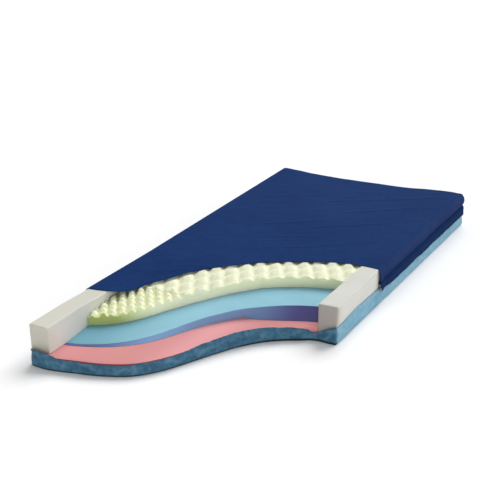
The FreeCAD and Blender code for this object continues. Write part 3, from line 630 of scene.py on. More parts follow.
# ------------------------------------------------------------------------------ bottom cover
WALL_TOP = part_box("right_cover_wall")[1].z
EDGE_ROUND = 5 * MM                         # between the bottom cover's wall and its underside
UNDER_REACH = 16 * MM                       # how far the wall's fabric turns in under the mattress
WALL_HEM = 9 * MM                           # height of the hem along the wall's top
BARE_LEFT_TOP = 54 * MM                     # the wall's top edge along the left rail's bare end
EXPOSED_END = 50 * MM                       # place along Y where the flap starts to hide the right one

# Height of the wall's top edge: along Y at the right, where the flap is cut away, and across X in front.
exposed_wall = through((-450, 63), (-380, 68), (-250, 75), (-120, 73), (-20, 70), (50, 69))
front_wall = through((-457, 65), (-400, 65), (-365, 61), (-329, 49), (-274, 48), (-221, 47), (-167, 46),
                     (-122, 44), (-65, 48), (-17, 47), (23, 47.5), (61, 56), (100, 61), (142, 64),
                     (191, 62), (253, 57), (318, 52), (345, 44), (358, 36), (380, 37), (400, 48), (423, 60),
                     (455, 71))


def on_front(x, y):
    """1 on the wall's cut front, fading to 0 round its two corners."""
    return smoothstep(1.2 - (y - front_line(x)) / (14 * MM))


def wall_height(x, y):
    """Top edge of the bottom cover's wall: under the zip flap at the sides, about the base's height in front.

    Where the flap is cut away, the edge waves along the right rail and lies lower along the left one.  In
    front it stands up at both corners and droops beside the right rail.
    """
    bare_left = smoothstep((COVER_LEFT - 0.03 - y) / 0.05)
    side = np.where(x > 0, WALL_TOP, WALL_TOP - (WALL_TOP - BARE_LEFT_TOP) * bare_left)
    side = np.where((x > 0) & (y < EXPOSED_END), exposed_wall(y), side)
    side = side + (y < 0) * 1.2 * MM * ripple(y, 0 * y, 0.11, 5)
    front = front_wall(x) + 0.6 * MM * ripple(x, 0 * x, 0.16, 6)
    in_front = on_front(x, y)
    return side * (1 - in_front) + front * in_front


# Each crease of the wall: start and end as (along, height), how far it stands out before WALL_RELIEF and
# its width, in millimetres.  On the front, along is the place across the mattress; on the right side it is Y.
WALL_RELIEF = 1.7
FRONT_CREASES = [
    ((-330, 8), (-300, 46), 1.6, 7), ((-262, 40), (-215, 14), -1.4, 6), ((-190, 6), (-176, 44), 1.5, 5),
    ((-134, 10), (-96, 40), 3.0, 5), ((-76, 2), (-73, 50), 2.4, 4), ((-52, 44), (-40, 8), -2.2, 5),
    ((-30, 4), (-24, 40), -2.8, 6), ((2, 48), (26, 16), 2.8, 5), ((60, 8), (72, 44), 1.8, 5),
    ((118, 44), (140, 10), -1.8, 6), ((190, 6), (214, 46), 1.8, 7), ((262, 12), (310, 36), 1.6, 6),
    ((344, 14), (400, 50), 4.0, 6), ((404, 8), (436, 40), 2.4, 6),
]
RIGHT_CREASES = [
    ((-450, 40), (-240, 50), 3.2, 7), ((-420, 20), (-150, 34), 3.0, 7), ((-250, 60), (-30, 62), 2.6, 6),
    ((-180, 24), (60, 40), 2.6, 7), ((-40, 54), (160, 40), 2.4, 6), ((90, 14), (330, 30), 2.0, 6),
    ((300, 40), (520, 26), 2.0, 6), ((560, 18), (800, 36), 1.8, 6), ((760, 40), (980, 24), 1.8, 6),
]


def wall_folds(x, y, z, along, top):
    """Outward swell of the wall: a soft belly, faint ripples and creases, none as deep as the foam.

    The front is crumpled, and along the right side the creases run lengthwise.
    """
    share = z / top
    belly = 1.4 * MM * np.sin(math.pi * np.clip(share, 0, 1))
    low_belly = 2.8 * MM * (1 - share) * (x > 0)
    fade = smoothstep(share / 0.25)
    folds = 0.9 * MM * ripple(along, 2 * z, 0.09, 11) * fade
    folds = folds + 0.5 * MM * ripple(along, z, 0.03, 12) * fade
    in_front = on_front(x, y)
    crumples = 0.9 * MM * ripple(along, 1.6 * z, 0.045, 13)
    crumples = crumples + 0.9 * MM * ripple(along + 0.6 * z, 0.8 * z, 0.018, 15)
    crumples = crumples + WALL_RELIEF * creased(FRONT_CREASES, x, z, MM)
    lengthwise = 0.7 * MM * ripple(0.2 * y, z, 0.02, 14)
    lengthwise = lengthwise + WALL_RELIEF * creased(RIGHT_CREASES, y, z, MM)
    swell = belly * (1 - 0.7 * in_front) + low_belly * (1 - in_front) + folds + crumples * in_front * fade
    swell = swell + lengthwise * (1 - in_front) * (x > 0) * fade
    return np.maximum(swell, -0.2 * MM - 0.5 * FRONT_ROOM * in_front)


def bottom_cover_wall():
    """The wall as one closed strip: turned in underneath, round its lower edge and up to a thin hem."""
    path = all_round(left_corner=FRONT_LEFT_CORNER + FRONT_ROOM, right_corner=5 * MM, spacing=4.5 * MM)
    x, y = path[0][:, 0, None], path[0][:, 1, None]
    top = wall_height(x, y)
    turn = np.linspace(0, math.pi / 2, 5)[None, :]
    rise = np.linspace(0, 1, 17)[None, 1:]
    under_depth = np.array([[-UNDER_REACH, -UNDER_REACH * 0.6]]) + 0 * x
    round_depth = -EDGE_ROUND * (1 - np.sin(turn)) + 0 * x
    depth = np.concatenate([under_depth, round_depth, 0 * x * rise], axis=1)
    height = np.concatenate([0 * under_depth, EDGE_ROUND * (1 - np.cos(turn)) + 0 * x,
                             EDGE_ROUND + rise * (top - EDGE_ROUND)], axis=1)
    on_wall = smoothstep(height / (12 * MM))
    folds = wall_folds(x, y, height, path[2][:, None], top)
    depth = depth + on_wall * folds
    hem = 0.5 * MM * smoothstep((height - top + WALL_HEM) / (1.5 * MM))
    folded_edge = 0.8 * MM * smoothstep((height - top + 1.5 * MM) / (1.5 * MM))
    depth = depth + hem - folded_edge
    wall = strip_piece("bottom_cover_wall", path, depth, height, closed_path=True)
    # Painted shade: the front takes a darker copy of the teal; the creases' hollows are painted darker and
    # their ridges lighter, most on the front; and a painted shadow darkens the lower edge where the cloth
    # turns under, mostly in front and taller towards the right.
    front = on_front(x, y)
    foot_shadow_height = 6 * MM + 4 * MM * smoothstep((x - 0.1) / 0.2)
    painted_foot_shadow = (0.1 + 0.9 * front) * smoothstep(1.4 - height / foot_shadow_height)
    painted_wall_shade = 0.5 * front - (0.03 + 0.015 * front) * np.clip(folds / MM, -3, 3) * on_wall
    painted_wall_shade = np.clip(painted_wall_shade, 0, 1)
    keep_painted_shading(wall, painted_wall_shade + (1 - painted_wall_shade) * painted_foot_shadow)
    return thicken(wall, FABRIC)


def bottom_cover_underside():
    """The flat underside, inside the part of the wall's fabric that turns in."""
    back = head_line(HALF_WIDTH - UNDER_REACH, HEAD_END - UNDER_REACH, COVER_CORNER - UNDER_REACH)
    across = stations(HALF_WIDTH - UNDER_REACH, [front_line, back], 90)[:, None]
    share = np.linspace(0, 1, 120)[None, :]
    foot = front_line(across) + UNDER_REACH
    y = foot + share * (back(across) - foot)
    x = across + 0 * y
    points = np.stack([x, y, 0 * x], axis=-1)
    faces = quads(*points.shape[:2])[:, ::-1]
    sheet = new_piece("bottom_cover_underside", points, faces, uv=np.stack([x, y], axis=-1))
    return thicken(sheet, FABRIC)


# ------------------------------------------------------------------------------ top cover
BORDER_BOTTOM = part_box("right_border")[0].z
COVER_EDGE = 5 * MM                         # rounding from the top panel down to its border
FLAT_EDGE = COVER_CORNER - COVER_EDGE       # what lies flat past the corner's lines
TURN_LENGTH = COVER_EDGE * math.pi / 2      # of cloth round that edge
HANG = COVER_TOP - COVER_EDGE - BORDER_BOTTOM        # of the border, straight down below that edge
SAG_DRAW = 2.2                              # how far the cut edge draws back for each length that it sags

# Start and end of each crease in plan, in metres, and its height and width in millimetres.
COVER_CREASES = [
    ((-0.27, 0.23), (0.09, 0.47), 1.8, 9), ((-0.33, 0.65), (-0.10, 0.81), 1.6, 9),
    ((-0.18, 0.64), (0.22, 0.89), 2.0, 10), ((0.11, 0.83), (0.43, 0.99), 1.8, 10),
    ((0.02, 0.05), (0.33, 0.28), 1.8, 8), ((-0.32, -0.30), (-0.17, -0.08), 1.4, 8),
    ((-0.40, -0.44), (-0.18, -0.31), 1.5, 8), ((-0.02, 0.30), (0.34, 0.56), 2.0, 9),
    ((0.01, 0.55), (0.41, 0.85), 2.0, 11), ((-0.17, 0.11), (0.13, 0.26), 1.3, 8),
    ((0.24, 0.15), (0.37, 0.38), 1.6, 9), ((0.20, -0.02), (0.40, 0.12), 1.8, 8),
]


def cover_folds(x, y):
    """Height of the folds on the top panel: the listed creases, random fainter ones and soft unevenness."""
    random = np.random.default_rng(3)
    folds = 0.5 * MM * ripple(x, y, 0.30, 21) + 0.25 * MM * ripple(x, y, 0.10, 22)
    folds = folds + creased(COVER_CREASES, x, y, 1.0)
    for _ in range(34):
        middle = random.uniform(-0.36, 0.40), random.uniform(-0.45, 1.02)
        half = random.uniform(0.06, 0.22)
        slant = math.radians(random.uniform(20, 36))
        run = half * math.cos(slant), half * math.sin(slant)
        start = middle[0] - run[0], middle[1] - run[1]
        end = middle[0] + run[0], middle[1] + run[1]
        height, width = random.uniform(0.4, 1.2) * MM, random.uniform(5, 11) * MM
        folds = folds + height * crease(x, y, start, end, width)
    on_foam = smoothstep((HALF_WIDTH - 8 * MM - np.abs(x)) / (30 * MM))
    return folds * on_foam


# How far the top cover's cut edge lies behind its CAD line, across X.
cover_shift = through((-455, 0), (-427, 2), (-379, 15), (-327, 25), (-294, 27), (-254, 15), (-214, 15),
                      (-167, 12), (-113, 6), (-53, 12), (10, 14), (75, 9), (145, 2), (189, 6), (280, 14),
                      (336, 13), (376, 8), (418, 4), (452, 0))


def cover_grid():
    """The top cover's grid on the flat cloth: u across it and v along it.

    The grid runs from the wavy cut to the head border's edge, and past both corner lines to the side borders'
    edges, with its points closer together round the top panel's edge.
    """
    past = np.concatenate([np.linspace(0, FLAT_EDGE, 6)[:-1], FLAT_EDGE + np.linspace(0, TURN_LENGTH, 7)[:-1],
                           FLAT_EDGE + TURN_LENGTH + np.linspace(0, HANG, 10)])
    flat = stations(CORNER_X, [cover_cut], 135)
    u = np.concatenate([-(CORNER_X + past[1:])[::-1], flat, CORNER_X + past[1:]])[:, None]
    front = cover_cut(np.clip(u, -HALF_WIDTH, HALF_WIDTH))
    front = front + cover_shift(u) + SAG_DRAW * sag(u, front)
    share = np.linspace(0, 1, 215)[None, :]
    v = np.concatenate([front + share * (CORNER_Y - front), CORNER_Y + past[None, 1:] + 0 * u], axis=1)
    return u, v


def border_bulge(u, v, hanging, above_seam):
    """How far the border stands out: a swell above the seam and, beside the right cut, ridges and a flare."""
    far_right = smoothstep((v - HEAD_END + 0.4) / 0.3) * (u > 0)
    swell = (3.2 * MM + 5.5 * MM * far_right) * np.sin(math.pi * above_seam) ** 0.8
    from_cut = v - COVER_RIGHT
    near_cut = smoothstep(1 - from_cut / (180 * MM)) * (u > 0) * hanging
    ridges = 2.2 * MM * near_cut * np.sin(math.tau * from_cut / (46 * MM) + 2.5 * hanging)
    flare = 8 * MM * smoothstep(1 - from_cut / (70 * MM)) * np.sqrt(hanging) * (u > 0)
    return swell + flare + ridges * (1 - 0.6 * hanging)


def top_cover_piece():
    """The top panel and its border as one sheet.

    A point's place on the cloth is (u, v).  Past the corner lines, the larger of its two distances runs
    outwards and the ratio of the two turns it round the upright corner.  The outward run lies flat, then
    turns down along a quarter circle and hangs straight to the border's lower edge.
    """
    u, v = cover_grid()
    side = np.clip(np.abs(u) - CORNER_X, 0, None) + 0 * v
    ahead = np.clip(v - CORNER_Y, 0, None)
    run = np.maximum(side, ahead)
    ratio = np.minimum(side, ahead) / np.maximum(run, 1e-9)
    angle = np.where(side >= ahead, ratio, 2 - ratio) * math.pi / 4
    angle = np.where((side > 0) | (ahead > 0), angle, 0)
    bent = np.clip((run - FLAT_EDGE) / COVER_EDGE, 0, math.pi / 2)
    hanging = np.clip((run - FLAT_EDGE - TURN_LENGTH) / HANG, 0, 1)
    above_seam = np.clip(hanging * HANG / (COVER_TOP - COVER_EDGE - FLAP_SEAM), 0, 1)
    out = np.minimum(run, FLAT_EDGE) + COVER_EDGE * np.sin(bent)
    out = out + border_bulge(u, v, hanging, above_seam)
    x = np.sign(u) * (np.minimum(np.abs(u), CORNER_X) + out * np.cos(angle))
    y = np.minimum(v, CORNER_Y) + out * np.sin(angle)
    top = COVER_TOP - sag(np.clip(x, -HALF_WIDTH, HALF_WIDTH), y)
    folds = cover_folds(x, y) * (1 - smoothstep(bent / (math.pi / 2)))
    shoulder = top + folds - COVER_EDGE * (1 - np.cos(bent))
    z = shoulder - hanging * (shoulder - BORDER_BOTTOM)
    edge = np.clip((-u - RAIL_INSIDE) / (HALF_WIDTH - RAIL_INSIDE), 0, 1)
    upper = smoothstep(2 * (z - BASE_TOP) / (FOAM_TOP - BASE_TOP) - 1)
    x = x - splay(y) * edge * upper
    points = np.stack([x, y, z], axis=-1)
    cloth = np.stack([u + 0 * v, v], axis=-1)
    cover = new_piece("top_cover", points, quads(*points.shape[:2]), uv=cloth)
    # Painted highlight: the rounded top edge and the upper border take a paler grey-blue copy of the navy,
    # fading down towards the seam.
    keep_painted_shading(cover, 0.5 * smoothstep((bent - 0.3) / 1.0) * smoothstep(1.25 - above_seam))
    return thicken(cover, FABRIC)


# ------------------------------------------------------------------------------ zip flap
FLAP_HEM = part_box("right_zip_flap")[0].z
HEM_FOLD = 0.6 * MM                         # what the hem's fold adds outwards in the CAD node
FLAP_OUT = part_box("right_zip_flap")[1].x - HALF_WIDTH - HEM_FOLD
FLAP_CLOTH = 1.0 * MM
SEAM_OUT = 0.9 * MM                         # the flap's sewn edge in front of the cover's wall
SEAM_RISE = 1 * MM                          # and above its CAD node's seam
CUT_SHORTER = 7 * MM                        # a flap's hem hangs that much higher at its cut end
CUT_SLANT = 12 * MM                         # and the cut runs that much back down to the hem
FLAP_STEP = 6 * MM                          # between the points along a flap

# Shares of the flap's drop: where the hem's fold begins, and where the points lie, closest at that fold.
HEM_SHARE = 0.785
FLAP_SHARES = np.array([0, 0.03, 0.08, 0.14, 0.2, 0.28, 0.38, 0.5, 0.62, 0.72, 0.79, 0.8, 0.82, 0.9, 1.0])


def flap_piece(name, path, torn_end=None):
    """A flap hanging from its seam: it slants outwards over the zip, hangs straight and ends in a hem.

    torn_end is the y of a cut end.  The cloth is cut slanting there, shorter and further back at the hem.
    """
    share = FLAP_SHARES[None, :]
    x, y = path[0][:, 0, None], path[0][:, 1, None]
    wave = ripple(x + y, x - y, 0.15, 31) * 1.3 * MM + ripple(x + y, x - y, 0.05, 32) * 0.4 * MM
    drop = FLAP_SEAM - FLAP_HEM - SEAM_RISE + 1.3 * MM * ripple(x + y, x - y, 0.22, 33)
    slant = smoothstep(share / 0.24)
    depth = SEAM_OUT + (FLAP_OUT - SEAM_OUT) * slant + wave * smoothstep((share - 0.1) / 0.9)
    depth = depth + 0.5 * MM * smoothstep((share - HEM_SHARE) / 0.015)
    if torn_end is not None:
        near_cut = smoothstep(1 - (y - torn_end) / (200 * MM))
        drop = drop - CUT_SHORTER * near_cut
        depth = depth + 6 * MM * smoothstep(1 - (y - torn_end) / (70 * MM))
    height = FLAP_SEAM + SEAM_RISE - share * drop
    strip = strip_piece(name, path, depth, height, flip=True)
    # Painted shadow under the bulging border: the flap takes a darker copy of the navy, darkest at its seam.
    keep_painted_shading(strip, 1 - 0.12 * smoothstep((share - 0.2) / 0.5) + 0 * depth)

    def slanting(points):
        """Set the cloth back along Y beside its cut end, the more the further down."""
        near_end = smoothstep(1 - (points[:, 1] - torn_end) / 0.2)
        down = (FLAP_SEAM - points[:, 2]) / (FLAP_SEAM - FLAP_HEM)
        points[:, 1] += CUT_SLANT * near_end * np.clip(down, 0, 1) ** 1.5
        return points

    if torn_end is not None:
        bend_points(strip, slanting)
    return thicken(strip, FLAP_CLOTH)


# ------------------------------------------------------------------------------ zip
ZIP_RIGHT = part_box("upper_zip_tape")[0].y + (COVER_RIGHT - COVER_LEFT)
ZIP_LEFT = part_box("upper_zip_tape")[0].y
TAPE_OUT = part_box("upper_zip_tape")[1].x - HALF_WIDTH
COIL_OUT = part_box("upper_zip_coil")[1].x - HALF_WIDTH
TAPE_CLOTH = 0.6 * MM
STOP_LENGTH = 3 * MM                        # of the zip's own stops, in front of its coils
TOOTH_PITCH = 3.2 * MM


def tape_piece(name, node_name):
    """A zip tape: a thin upright strip round three sides."""
    low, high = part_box(node_name)[0].z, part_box(node_name)[1].z
    path = three_sides(ZIP_RIGHT, ZIP_LEFT, 8 * MM)
    share = np.array([0, 0.06, 0.12, 0.3, 0.5, 0.7, 0.88, 0.94, 1.0])
    depth = np.full((len(path[2]), len(share)), TAPE_OUT)
    return thicken(strip_piece(name, path, depth, low + (high - low) * share), TAPE_CLOTH)


def coil_piece(name, node_name):
    """A zip coil: an oval rope whose turns swell and narrow once for each tooth and lean along the zip."""
    low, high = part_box(node_name)[0].z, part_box(node_name)[1].z
    right, left = ZIP_RIGHT + STOP_LENGTH, ZIP_LEFT + STOP_LENGTH
    path = three_sides(right, left, TOOTH_PITCH / 4)
    angle = np.linspace(0, math.tau, 9)[None, :-1]
    along = path[2][:, None]
    pinch = 1 - 0.2 * (0.5 + 0.5 * np.cos(math.tau * along / TOOTH_PITCH + 1.2 * np.cos(angle)))
    half_thick, half_high = (COIL_OUT - TAPE_OUT) / 2, (high - low) / 2
    depth = TAPE_OUT + half_thick + half_thick * pinch * np.cos(angle)
    height = (low + high) / 2 + half_high * pinch * np.sin(angle)
    return strip_piece(name, path, depth, height, closed_profile=True)


# ------------------------------------------------------------------------------ materials
def srgb(red, green, blue):
    """A colour given in 0 to 255 as the linear values that a shader takes."""
    shares = [value / 255 for value in (red, green, blue)]
    return (*[s / 12.92 if s <= 0.04045 else ((s + 0.055) / 1.055) ** 2.4 for s in shares], 1)


def node(tree, kind, inputs=None, **settings):
    """Add a shader node: settings are its properties, and an input is a value or another node's output."""
    made = tree.nodes.new("ShaderNode" + kind)
    for name, value in settings.items():
        setattr(made, name, value)
    for key, value in (inputs or {}).items():
        if isinstance(value, bpy.types.NodeSocket):
            tree.links.new(value, made.inputs[key])
        else:
            made.inputs[key].default_value = value
    return made


def blank_material(name, roughness, sheen=0.0, specular=0.5, metallic=0.0):
    """A material with one Principled shader, whose even values are set on its own sockets."""
    material = bpy.data.materials.new(name)
    material.use_nodes = True
    tree = material.node_tree
    shader = tree.nodes["Principled BSDF"]
    shader.inputs["Roughness"].default_value = roughness
    shader.inputs["Sheen Weight"].default_value = sheen
    shader.inputs["Specular IOR Level"].default_value = specular
    shader.inputs["Metallic"].default_value = metallic
    return material, tree, shader


def mixed(tree, share, first, second, kind="MIX"):
    """The output of a colour mix of two colours or outputs."""
    made = node(tree, "Mix", {0: share, 6: first, 7: second}, data_type="RGBA", blend_type=kind)
    return made.outputs[2]


def with_painted_shading(tree, base, painted_shading_colours):
    """A colour that the piece's own attribute of painted light and shade turns to each of the painted shading
    colours in turn, the last at 1.
    """
    for number, painted_colour in enumerate(painted_shading_colours):
        painted_shading = node(tree, "Attribute", attribute_name="painted_shading").outputs["Fac"]
        start, end = number / len(painted_shading_colours), (number + 1) / len(painted_shading_colours)
        share = node(tree, "MapRange", {"Value": painted_shading, 1: start, 2: end, 3: 0.0, 4: 1.0})
        base = mixed(tree, share.outputs[0], base, painted_colour)
    return base


def foam_material(name, light, dark, cell, depth, painted_shading_colours=(), spread=0.0):
    """Open foam: cells of that size pit the surface, and the tone drifts a little over the block; the shading
    colours then paint light and shade on it.

    spread is how far light spreads inside a translucent foam.
    """
    material, tree, shader = blank_material(name, 0.95, sheen=0.1, specular=0.08)
    if spread:
        shader.inputs["Subsurface Weight"].default_value = 0.9
        shader.inputs["Subsurface Radius"].default_value = (1.0, 0.97, 0.7)
        shader.inputs["Subsurface Scale"].default_value = spread
    place = node(tree, "TexCoord").outputs["Object"]
    drift = node(tree, "TexNoise", {"Vector": place, "Scale": 5.0, "Detail": 3.0})
    cells = node(tree, "TexVoronoi", {"Vector": place, "Scale": 1 / cell})
    grain = node(tree, "TexNoise", {"Vector": place, "Scale": 0.35 / cell, "Detail": 4.0})
    tone = node(tree, "MapRange", {"Value": drift.outputs["Fac"], 1: 0.3, 2: 0.7, 3: 0.0, 4: 0.55})
    pits = node(tree, "MapRange", {"Value": cells.outputs["Distance"], 1: 0.0, 2: 0.6, 3: 0.4, 4: 0.0})
    base = mixed(tree, tone.outputs[0], light, dark)
    base = mixed(tree, pits.outputs[0], base, dark)
    base = with_painted_shading(tree, base, painted_shading_colours)
    tree.links.new(base, shader.inputs["Base Color"])
    height = node(tree, "Math", {0: cells.outputs["Distance"], 1: grain.outputs["Fac"]}, operation="ADD")
    bump = node(tree, "Bump", {"Height": height.outputs[0], "Strength": 0.6, "Distance": depth})
    tree.links.new(bump.outputs[0], shader.inputs["Normal"])
    return material


def cloth_material(name, light, dark, thread, roughness, sheen, specular, painted_shading_colours=()):
    """Coated cloth: two sets of threads cross on the cloth's own coordinates, under a faint soft sheen.

    The shading colours first paint light and shade; then a broad drift, a finer mottling and the threads each
    turn the colour from light towards dark.
    """
    material, tree, shader = blank_material(name, roughness, sheen=sheen, specular=specular)
    shader.inputs["Sheen Tint"].default_value = light
    shader.inputs["Sheen Roughness"].default_value = 0.4
    cloth = node(tree, "UVMap", uv_map="cloth").outputs[0]
    parts = node(tree, "SeparateXYZ", {0: cloth})
    waves = []
    for axis in (0, 1):
        phase = node(tree, "Math", {0: parts.outputs[axis], 1: math.tau / thread}, operation="MULTIPLY")
        waves.append(node(tree, "Math", {0: phase.outputs[0]}, operation="SINE").outputs[0])
    weave = node(tree, "Math", {0: waves[0], 1: waves[1]}, operation="MULTIPLY").outputs[0]
    place = node(tree, "TexCoord").outputs["Object"]
    drift = node(tree, "TexNoise", {"Vector": place, "Scale": 4.0, "Detail": 4.0}).outputs["Fac"]
    mottling = node(tree, "TexNoise", {"Vector": place, "Scale": 42.0, "Detail": 3.0}).outputs["Fac"]
    toned = (*[d / l for d, l in zip(dark[:3], light[:3])], 1)
    base = with_painted_shading(tree, light, painted_shading_colours)
    layers = ((drift, 0.3, 0.7, 0.7), (mottling, 0.35, 0.65, 0.5), (weave, -1.0, 1.0, 0.25))
    for value, low, high, most in layers:
        share = node(tree, "MapRange", {"Value": value, 1: low, 2: high, 3: 0.0, 4: most})
        base = mixed(tree, share.outputs[0], base, toned, "MULTIPLY")
    tree.links.new(base, shader.inputs["Base Color"])
    bump = node(tree, "Bump", {"Height": weave, "Strength": 0.35, "Distance": 0.05 * MM})
    tree.links.new(bump.outputs[0], shader.inputs["Normal"])
    return material


def metal_material():
    """Satin plated zinc with fine brushing along the zip."""
    material, tree, shader = blank_material("satin_zinc", 0.35, metallic=1.0)
    place = node(tree, "TexCoord").outputs["Object"]
    stretch = node(tree, "Mapping", {"Vector": place, "Scale": (2500, 300, 2500)})
    brush = node(tree, "TexNoise", {"Vector": stretch.outputs[0], "Scale": 1.0, "Detail": 3.0})
    base = mixed(tree, brush.outputs["Fac"], srgb(172, 174, 178), srgb(205, 206, 208))
    tree.links.new(base, shader.inputs["Base Color"])
    bump = node(tree, "Bump", {"Height": brush.outputs["Fac"], "Strength": 0.2, "Distance": 0.02 * MM})
    tree.links.new(bump.outputs[0], shader.inputs["Normal"])
    return material


def coil_material():
    """Nylon coil: smooth and slightly glossy, with the tone uneven from tooth to tooth."""
    material, tree, shader = blank_material("nylon_coil", 0.35, specular=0.4)
    place = node(tree, "TexCoord").outputs["Object"]
    drift = node(tree, "TexNoise", {"Vector": place, "Scale": 400.0, "Detail": 2.0})
    base = mixed(tree, drift.outputs["Fac"], srgb(30, 42, 72), srgb(44, 58, 92))
    tree.links.new(base, shader.inputs["Base Color"])
    return material


# ------------------------------------------------------------------------------ build
# Painted shading colours: a paler pink as painted light on the top, and a deep red as painted shade on the
# cut face.
pink_foam = foam_material("pink_foam", srgb(217, 147, 146), srgb(206, 134, 135), 1.5 * MM, 0.25 * MM,
                          painted_shading_colours=(srgb(236, 168, 172), srgb(190, 84, 90)))
# Painted shading colours: a darker teal-blue as painted shade on the top near the left rail, and two
# violet-blues as painted shade on the cut face.
blue_foam = foam_material("blue_foam", srgb(155, 205, 221), srgb(131, 184, 204), 1.2 * MM, 0.2 * MM,
                          painted_shading_colours=(srgb(112, 166, 184), srgb(132, 168, 212), srgb(90, 90, 144)))
# Painted shading colours: a paler cream as painted light in the grooves and on the cut face, and an olive as
# painted shade in the deep grooves and at the face's foot and left end.
yellow_foam = foam_material("yellow_foam", srgb(222, 223, 199), srgb(214, 217, 187), 1.5 * MM, 0.25 * MM,
                            painted_shading_colours=(srgb(250, 255, 216), srgb(186, 198, 128)), spread=22 * MM)
# Painted shading colours: two greys as painted shade on the rails' cut ends and on the left rail's top and
# outer side.
white_foam = foam_material("white_foam", srgb(218, 218, 212), srgb(203, 203, 195), 1.2 * MM, 0.2 * MM,
                           painted_shading_colours=(srgb(208, 206, 193), srgb(174, 167, 161)))
# Painted shading colours: a greyer blue as painted highlight on the cover's rounded edge and border, and a
# dark navy as painted shadow on the flaps below the seam.
navy_cloth = cloth_material("navy_cloth", srgb(21, 54, 106), srgb(17, 46, 95), 0.6 * MM, 0.7, 0.0, 0.02,
                            painted_shading_colours=(srgb(38, 60, 106), srgb(14, 42, 86)))
# Painted shading colours: a darker teal as painted shade on the front, and a near black as painted shadow
# along the lower edge.
teal_cloth = cloth_material("teal_cloth", srgb(140, 183, 203), srgb(112, 160, 184), 0.7 * MM, 0.5, 0.03, 0.15,
                            painted_shading_colours=(srgb(72, 117, 143), srgb(8, 16, 28)))
tape_cloth = cloth_material("zip_tape", srgb(34, 50, 92), srgb(24, 38, 74), 0.9 * MM, 0.8, 0.1, 0.2)
zinc = metal_material()
nylon = coil_material()


def dress(piece, material, nodes, body="mattress"):
    """Give a piece its material, hide the CAD nodes that it stands for and attach it to the body it rides on.

    A piece without a body is left unattached.
    """
    piece.data.materials.append(material)
    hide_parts(*nodes)
    if body:
        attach(piece, body)
    return piece


foam = [
    (base_piece(), pink_foam, "pink_foam", "base_foam"),
    (middle_piece(), blue_foam, "blue_foam", "middle_foam"),
    (topper_piece(), yellow_foam, "yellow_foam", "convoluted_topper"),
    (rail_piece("left_rail_foam", "left_side_rail", splayed_rail, 0.5, 0.85),
     white_foam, "white_foam", "left_side_rail"),
    (rail_piece("right_rail_foam", "right_side_rail", leaning_rail, 1.0, 0.0, RAIL_TOE_DROP),
     white_foam, "white_foam", "right_side_rail"),
]
for piece, material, slot, replaced in foam:
    dress(piece, material, [replaced])


wall = dress(bottom_cover_wall(), teal_cloth,
             ["front_cover_wall", "left_cover_wall", "right_cover_wall", "head_cover_wall"])
underside = dress(bottom_cover_underside(), teal_cloth, ["bottom_panel"])
cover = dress(top_cover_piece(), navy_cloth,
              ["top_panel", "left_border", "right_border", "head_border"])

TWIST = 0.16                                # length from a corner to where a flap's twist would end; the flaps here are not twisted
straight_flaps = [
    # piece, node, body, both ends of its path, the corner, where its twist ends, and its cut end
    ("right_flap_cloth", "right_zip_flap", "right_flap", (HALF_WIDTH, COVER_RIGHT), (HALF_WIDTH, CORNER_Y),
     (HALF_WIDTH, CORNER_Y), (HALF_WIDTH, CORNER_Y - TWIST), COVER_RIGHT),
    ("left_flap_cloth", "left_zip_flap", "left_flap", (-HALF_WIDTH, CORNER_Y), (-HALF_WIDTH, COVER_LEFT),
     (-HALF_WIDTH, CORNER_Y), (-HALF_WIDTH, CORNER_Y - TWIST), COVER_LEFT),
    ("head_flap_cloth_right", "head_zip_flap", "head_flap", (CORNER_X, HEAD_END), (0, HEAD_END),
     (CORNER_X, HEAD_END), (CORNER_X - TWIST, HEAD_END), None),
    ("head_flap_cloth_left", "head_zip_flap", "head_flap", (0, HEAD_END), (-CORNER_X, HEAD_END),
     (-CORNER_X, HEAD_END), (TWIST - CORNER_X, HEAD_END), None),
]
for name, node_name, body, start, end, corner, twist_end, torn_end in straight_flaps:
    path = join(line_path(start, end, FLAP_STEP))
    flap = dress(flap_piece(name, path, torn_end), navy_cloth, [node_name], body=None)
    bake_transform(flap)
for name, node_name, middle_x, first in (("right_corner_cloth", "right_corner_flap", CORNER_X, 0),
                                         ("left_corner_cloth", "left_corner_flap", -CORNER_X, math.pi / 2)):
    path = join(arc_path((middle_x, CORNER_Y), COVER_CORNER, first, first + math.pi / 2, FLAP_STEP / 2))
    flap = dress(flap_piece(name, path), navy_cloth, [node_name])

for name, node_name in (("lower_tape", "lower_zip_tape"), ("upper_tape", "upper_zip_tape")):
    tape = dress(tape_piece(name, node_name), tape_cloth, [node_name])
for name, node_name in (("lower_coil", "lower_zip_coil"), ("upper_coil", "upper_zip_coil")):
    dress(coil_piece(name, node_name), nylon, [node_name])

# The zip's metal pieces are small and keep their CAD solids.
for name in ("zip_top_stops", "zip_bottom_stop", "zip_slider", "pull_tab_stud", "pull_tab"):
    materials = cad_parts[name].data.materials
    materials.clear()
    materials.append(zinc)


# ------------------------------------------------------------------------------ stage, light and camera
def link(thing):
    """Put an object into the scene."""
    bpy.context.scene.collection.objects.link(thing)
    return thing


def shown_directly(tree):
    """1 where the camera, a mirror or glass looks straight at the background, and 0 for all other light."""
    path = node(tree, "LightPath").outputs
    direct = path["Is Camera Ray"]
    for kind in ("Is Glossy Ray", "Is Transmission Ray"):
        direct = node(tree, "Math", {0: direct, 1: path[kind]}, operation="MAXIMUM").outputs[0]
    return direct


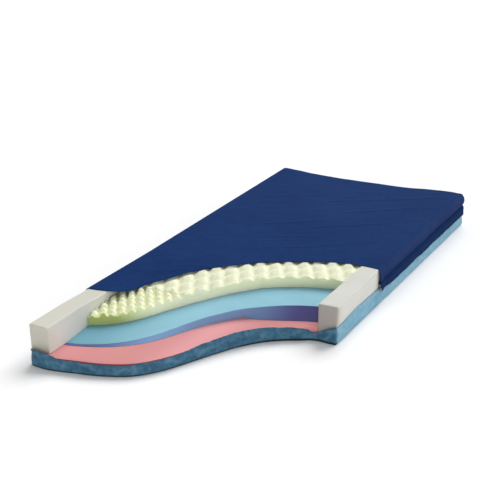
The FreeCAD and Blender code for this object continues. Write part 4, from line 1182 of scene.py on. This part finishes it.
def stage_floor():
    """A pale matt floor; seen directly it has enough glow to be white, but it keeps the shadows."""
    mesh = bpy.data.meshes.new("floor")
    mesh.from_pydata([(-30, -30, 0), (30, -30, 0), (30, 30, 0), (-30, 30, 0)], [], [(0, 1, 2, 3)])
    material, tree, shader = blank_material("floor", 1.0, specular=0.0)
    shader.inputs["Base Color"].default_value = (0.95, 0.95, 0.95, 1)
    glow = node(tree, "Math", {0: shown_directly(tree), 1: 0.06}, operation="MULTIPLY")
    light = node(tree, "Emission", {"Strength": glow.outputs[0]})
    both = node(tree, "AddShader", {0: shader.outputs[0], 1: light.outputs[0]})
    tree.links.new(both.outputs[0], tree.nodes["Material Output"].inputs[0])
    mesh.materials.append(material)
    link(bpy.data.objects.new("floor", mesh))


def studio_light():
    """A wide sun from the head end, a pale sky and, low down, bright walls to the front and the right."""
    world = bpy.data.worlds.new("studio")
    bpy.context.scene.world = world
    world.use_nodes = True
    tree = world.node_tree
    direction = node(tree, "SeparateXYZ", {0: node(tree, "TexCoord").outputs["Generated"]}).outputs

    def between(value, low, high, at_low, at_high):
        made = node(tree, "MapRange", {"Value": value, 1: low, 2: high, 3: at_low, 4: at_high})
        return made.outputs[0]

    def combined(operation, first, second):
        return node(tree, "Math", {0: first, 1: second}, operation=operation).outputs[0]

    walls = combined("ADD", between(direction["Y"], -1.0, 0.0, 1.2, 0.0),
                     between(direction["X"], 0.0, 1.0, 0.0, 1.65))
    low_down = between(direction["Z"], 0.0, 0.6, 1.0, 0.0)
    above = combined("MULTIPLY", between(direction["Y"], -1.0, 1.0, 0.2, 0.6),
                     between(direction["Z"], 0.0, 0.6, 0.3, 1.0))
    sky = combined("ADD", above, combined("MULTIPLY", walls, low_down))
    strength = node(tree, "Mix", {0: shown_directly(tree), 2: sky, 3: 1.0})
    tree.links.new(strength.outputs[0], tree.nodes["Background"].inputs["Strength"])
    tree.nodes["Background"].inputs["Color"].default_value = (1, 1, 1, 1)
    sun = bpy.data.lights.new("wide_sun", "SUN")
    sun.energy = 2.5
    sun.angle = math.radians(45)
    lamp = link(bpy.data.objects.new("wide_sun", sun))
    lamp.rotation_euler = (math.radians(-44), math.radians(3), 0)


def studio_camera():
    """A long lens that looks down on the mattress from beyond its foot end and from its right."""
    data = bpy.data.cameras.new("camera")
    data.sensor_width = 36
    data.lens = 93.43
    data.clip_end = 80
    camera = link(bpy.data.objects.new("camera", data))
    camera.location = (2.1140, -4.4784, 2.0137)
    camera.rotation_euler = (math.radians(90 - 20.58), 0, math.radians(26.44))
    bpy.context.scene.camera = camera


stage_floor()
studio_light()
studio_camera()
bpy.context.scene.view_settings.view_transform = "Standard"
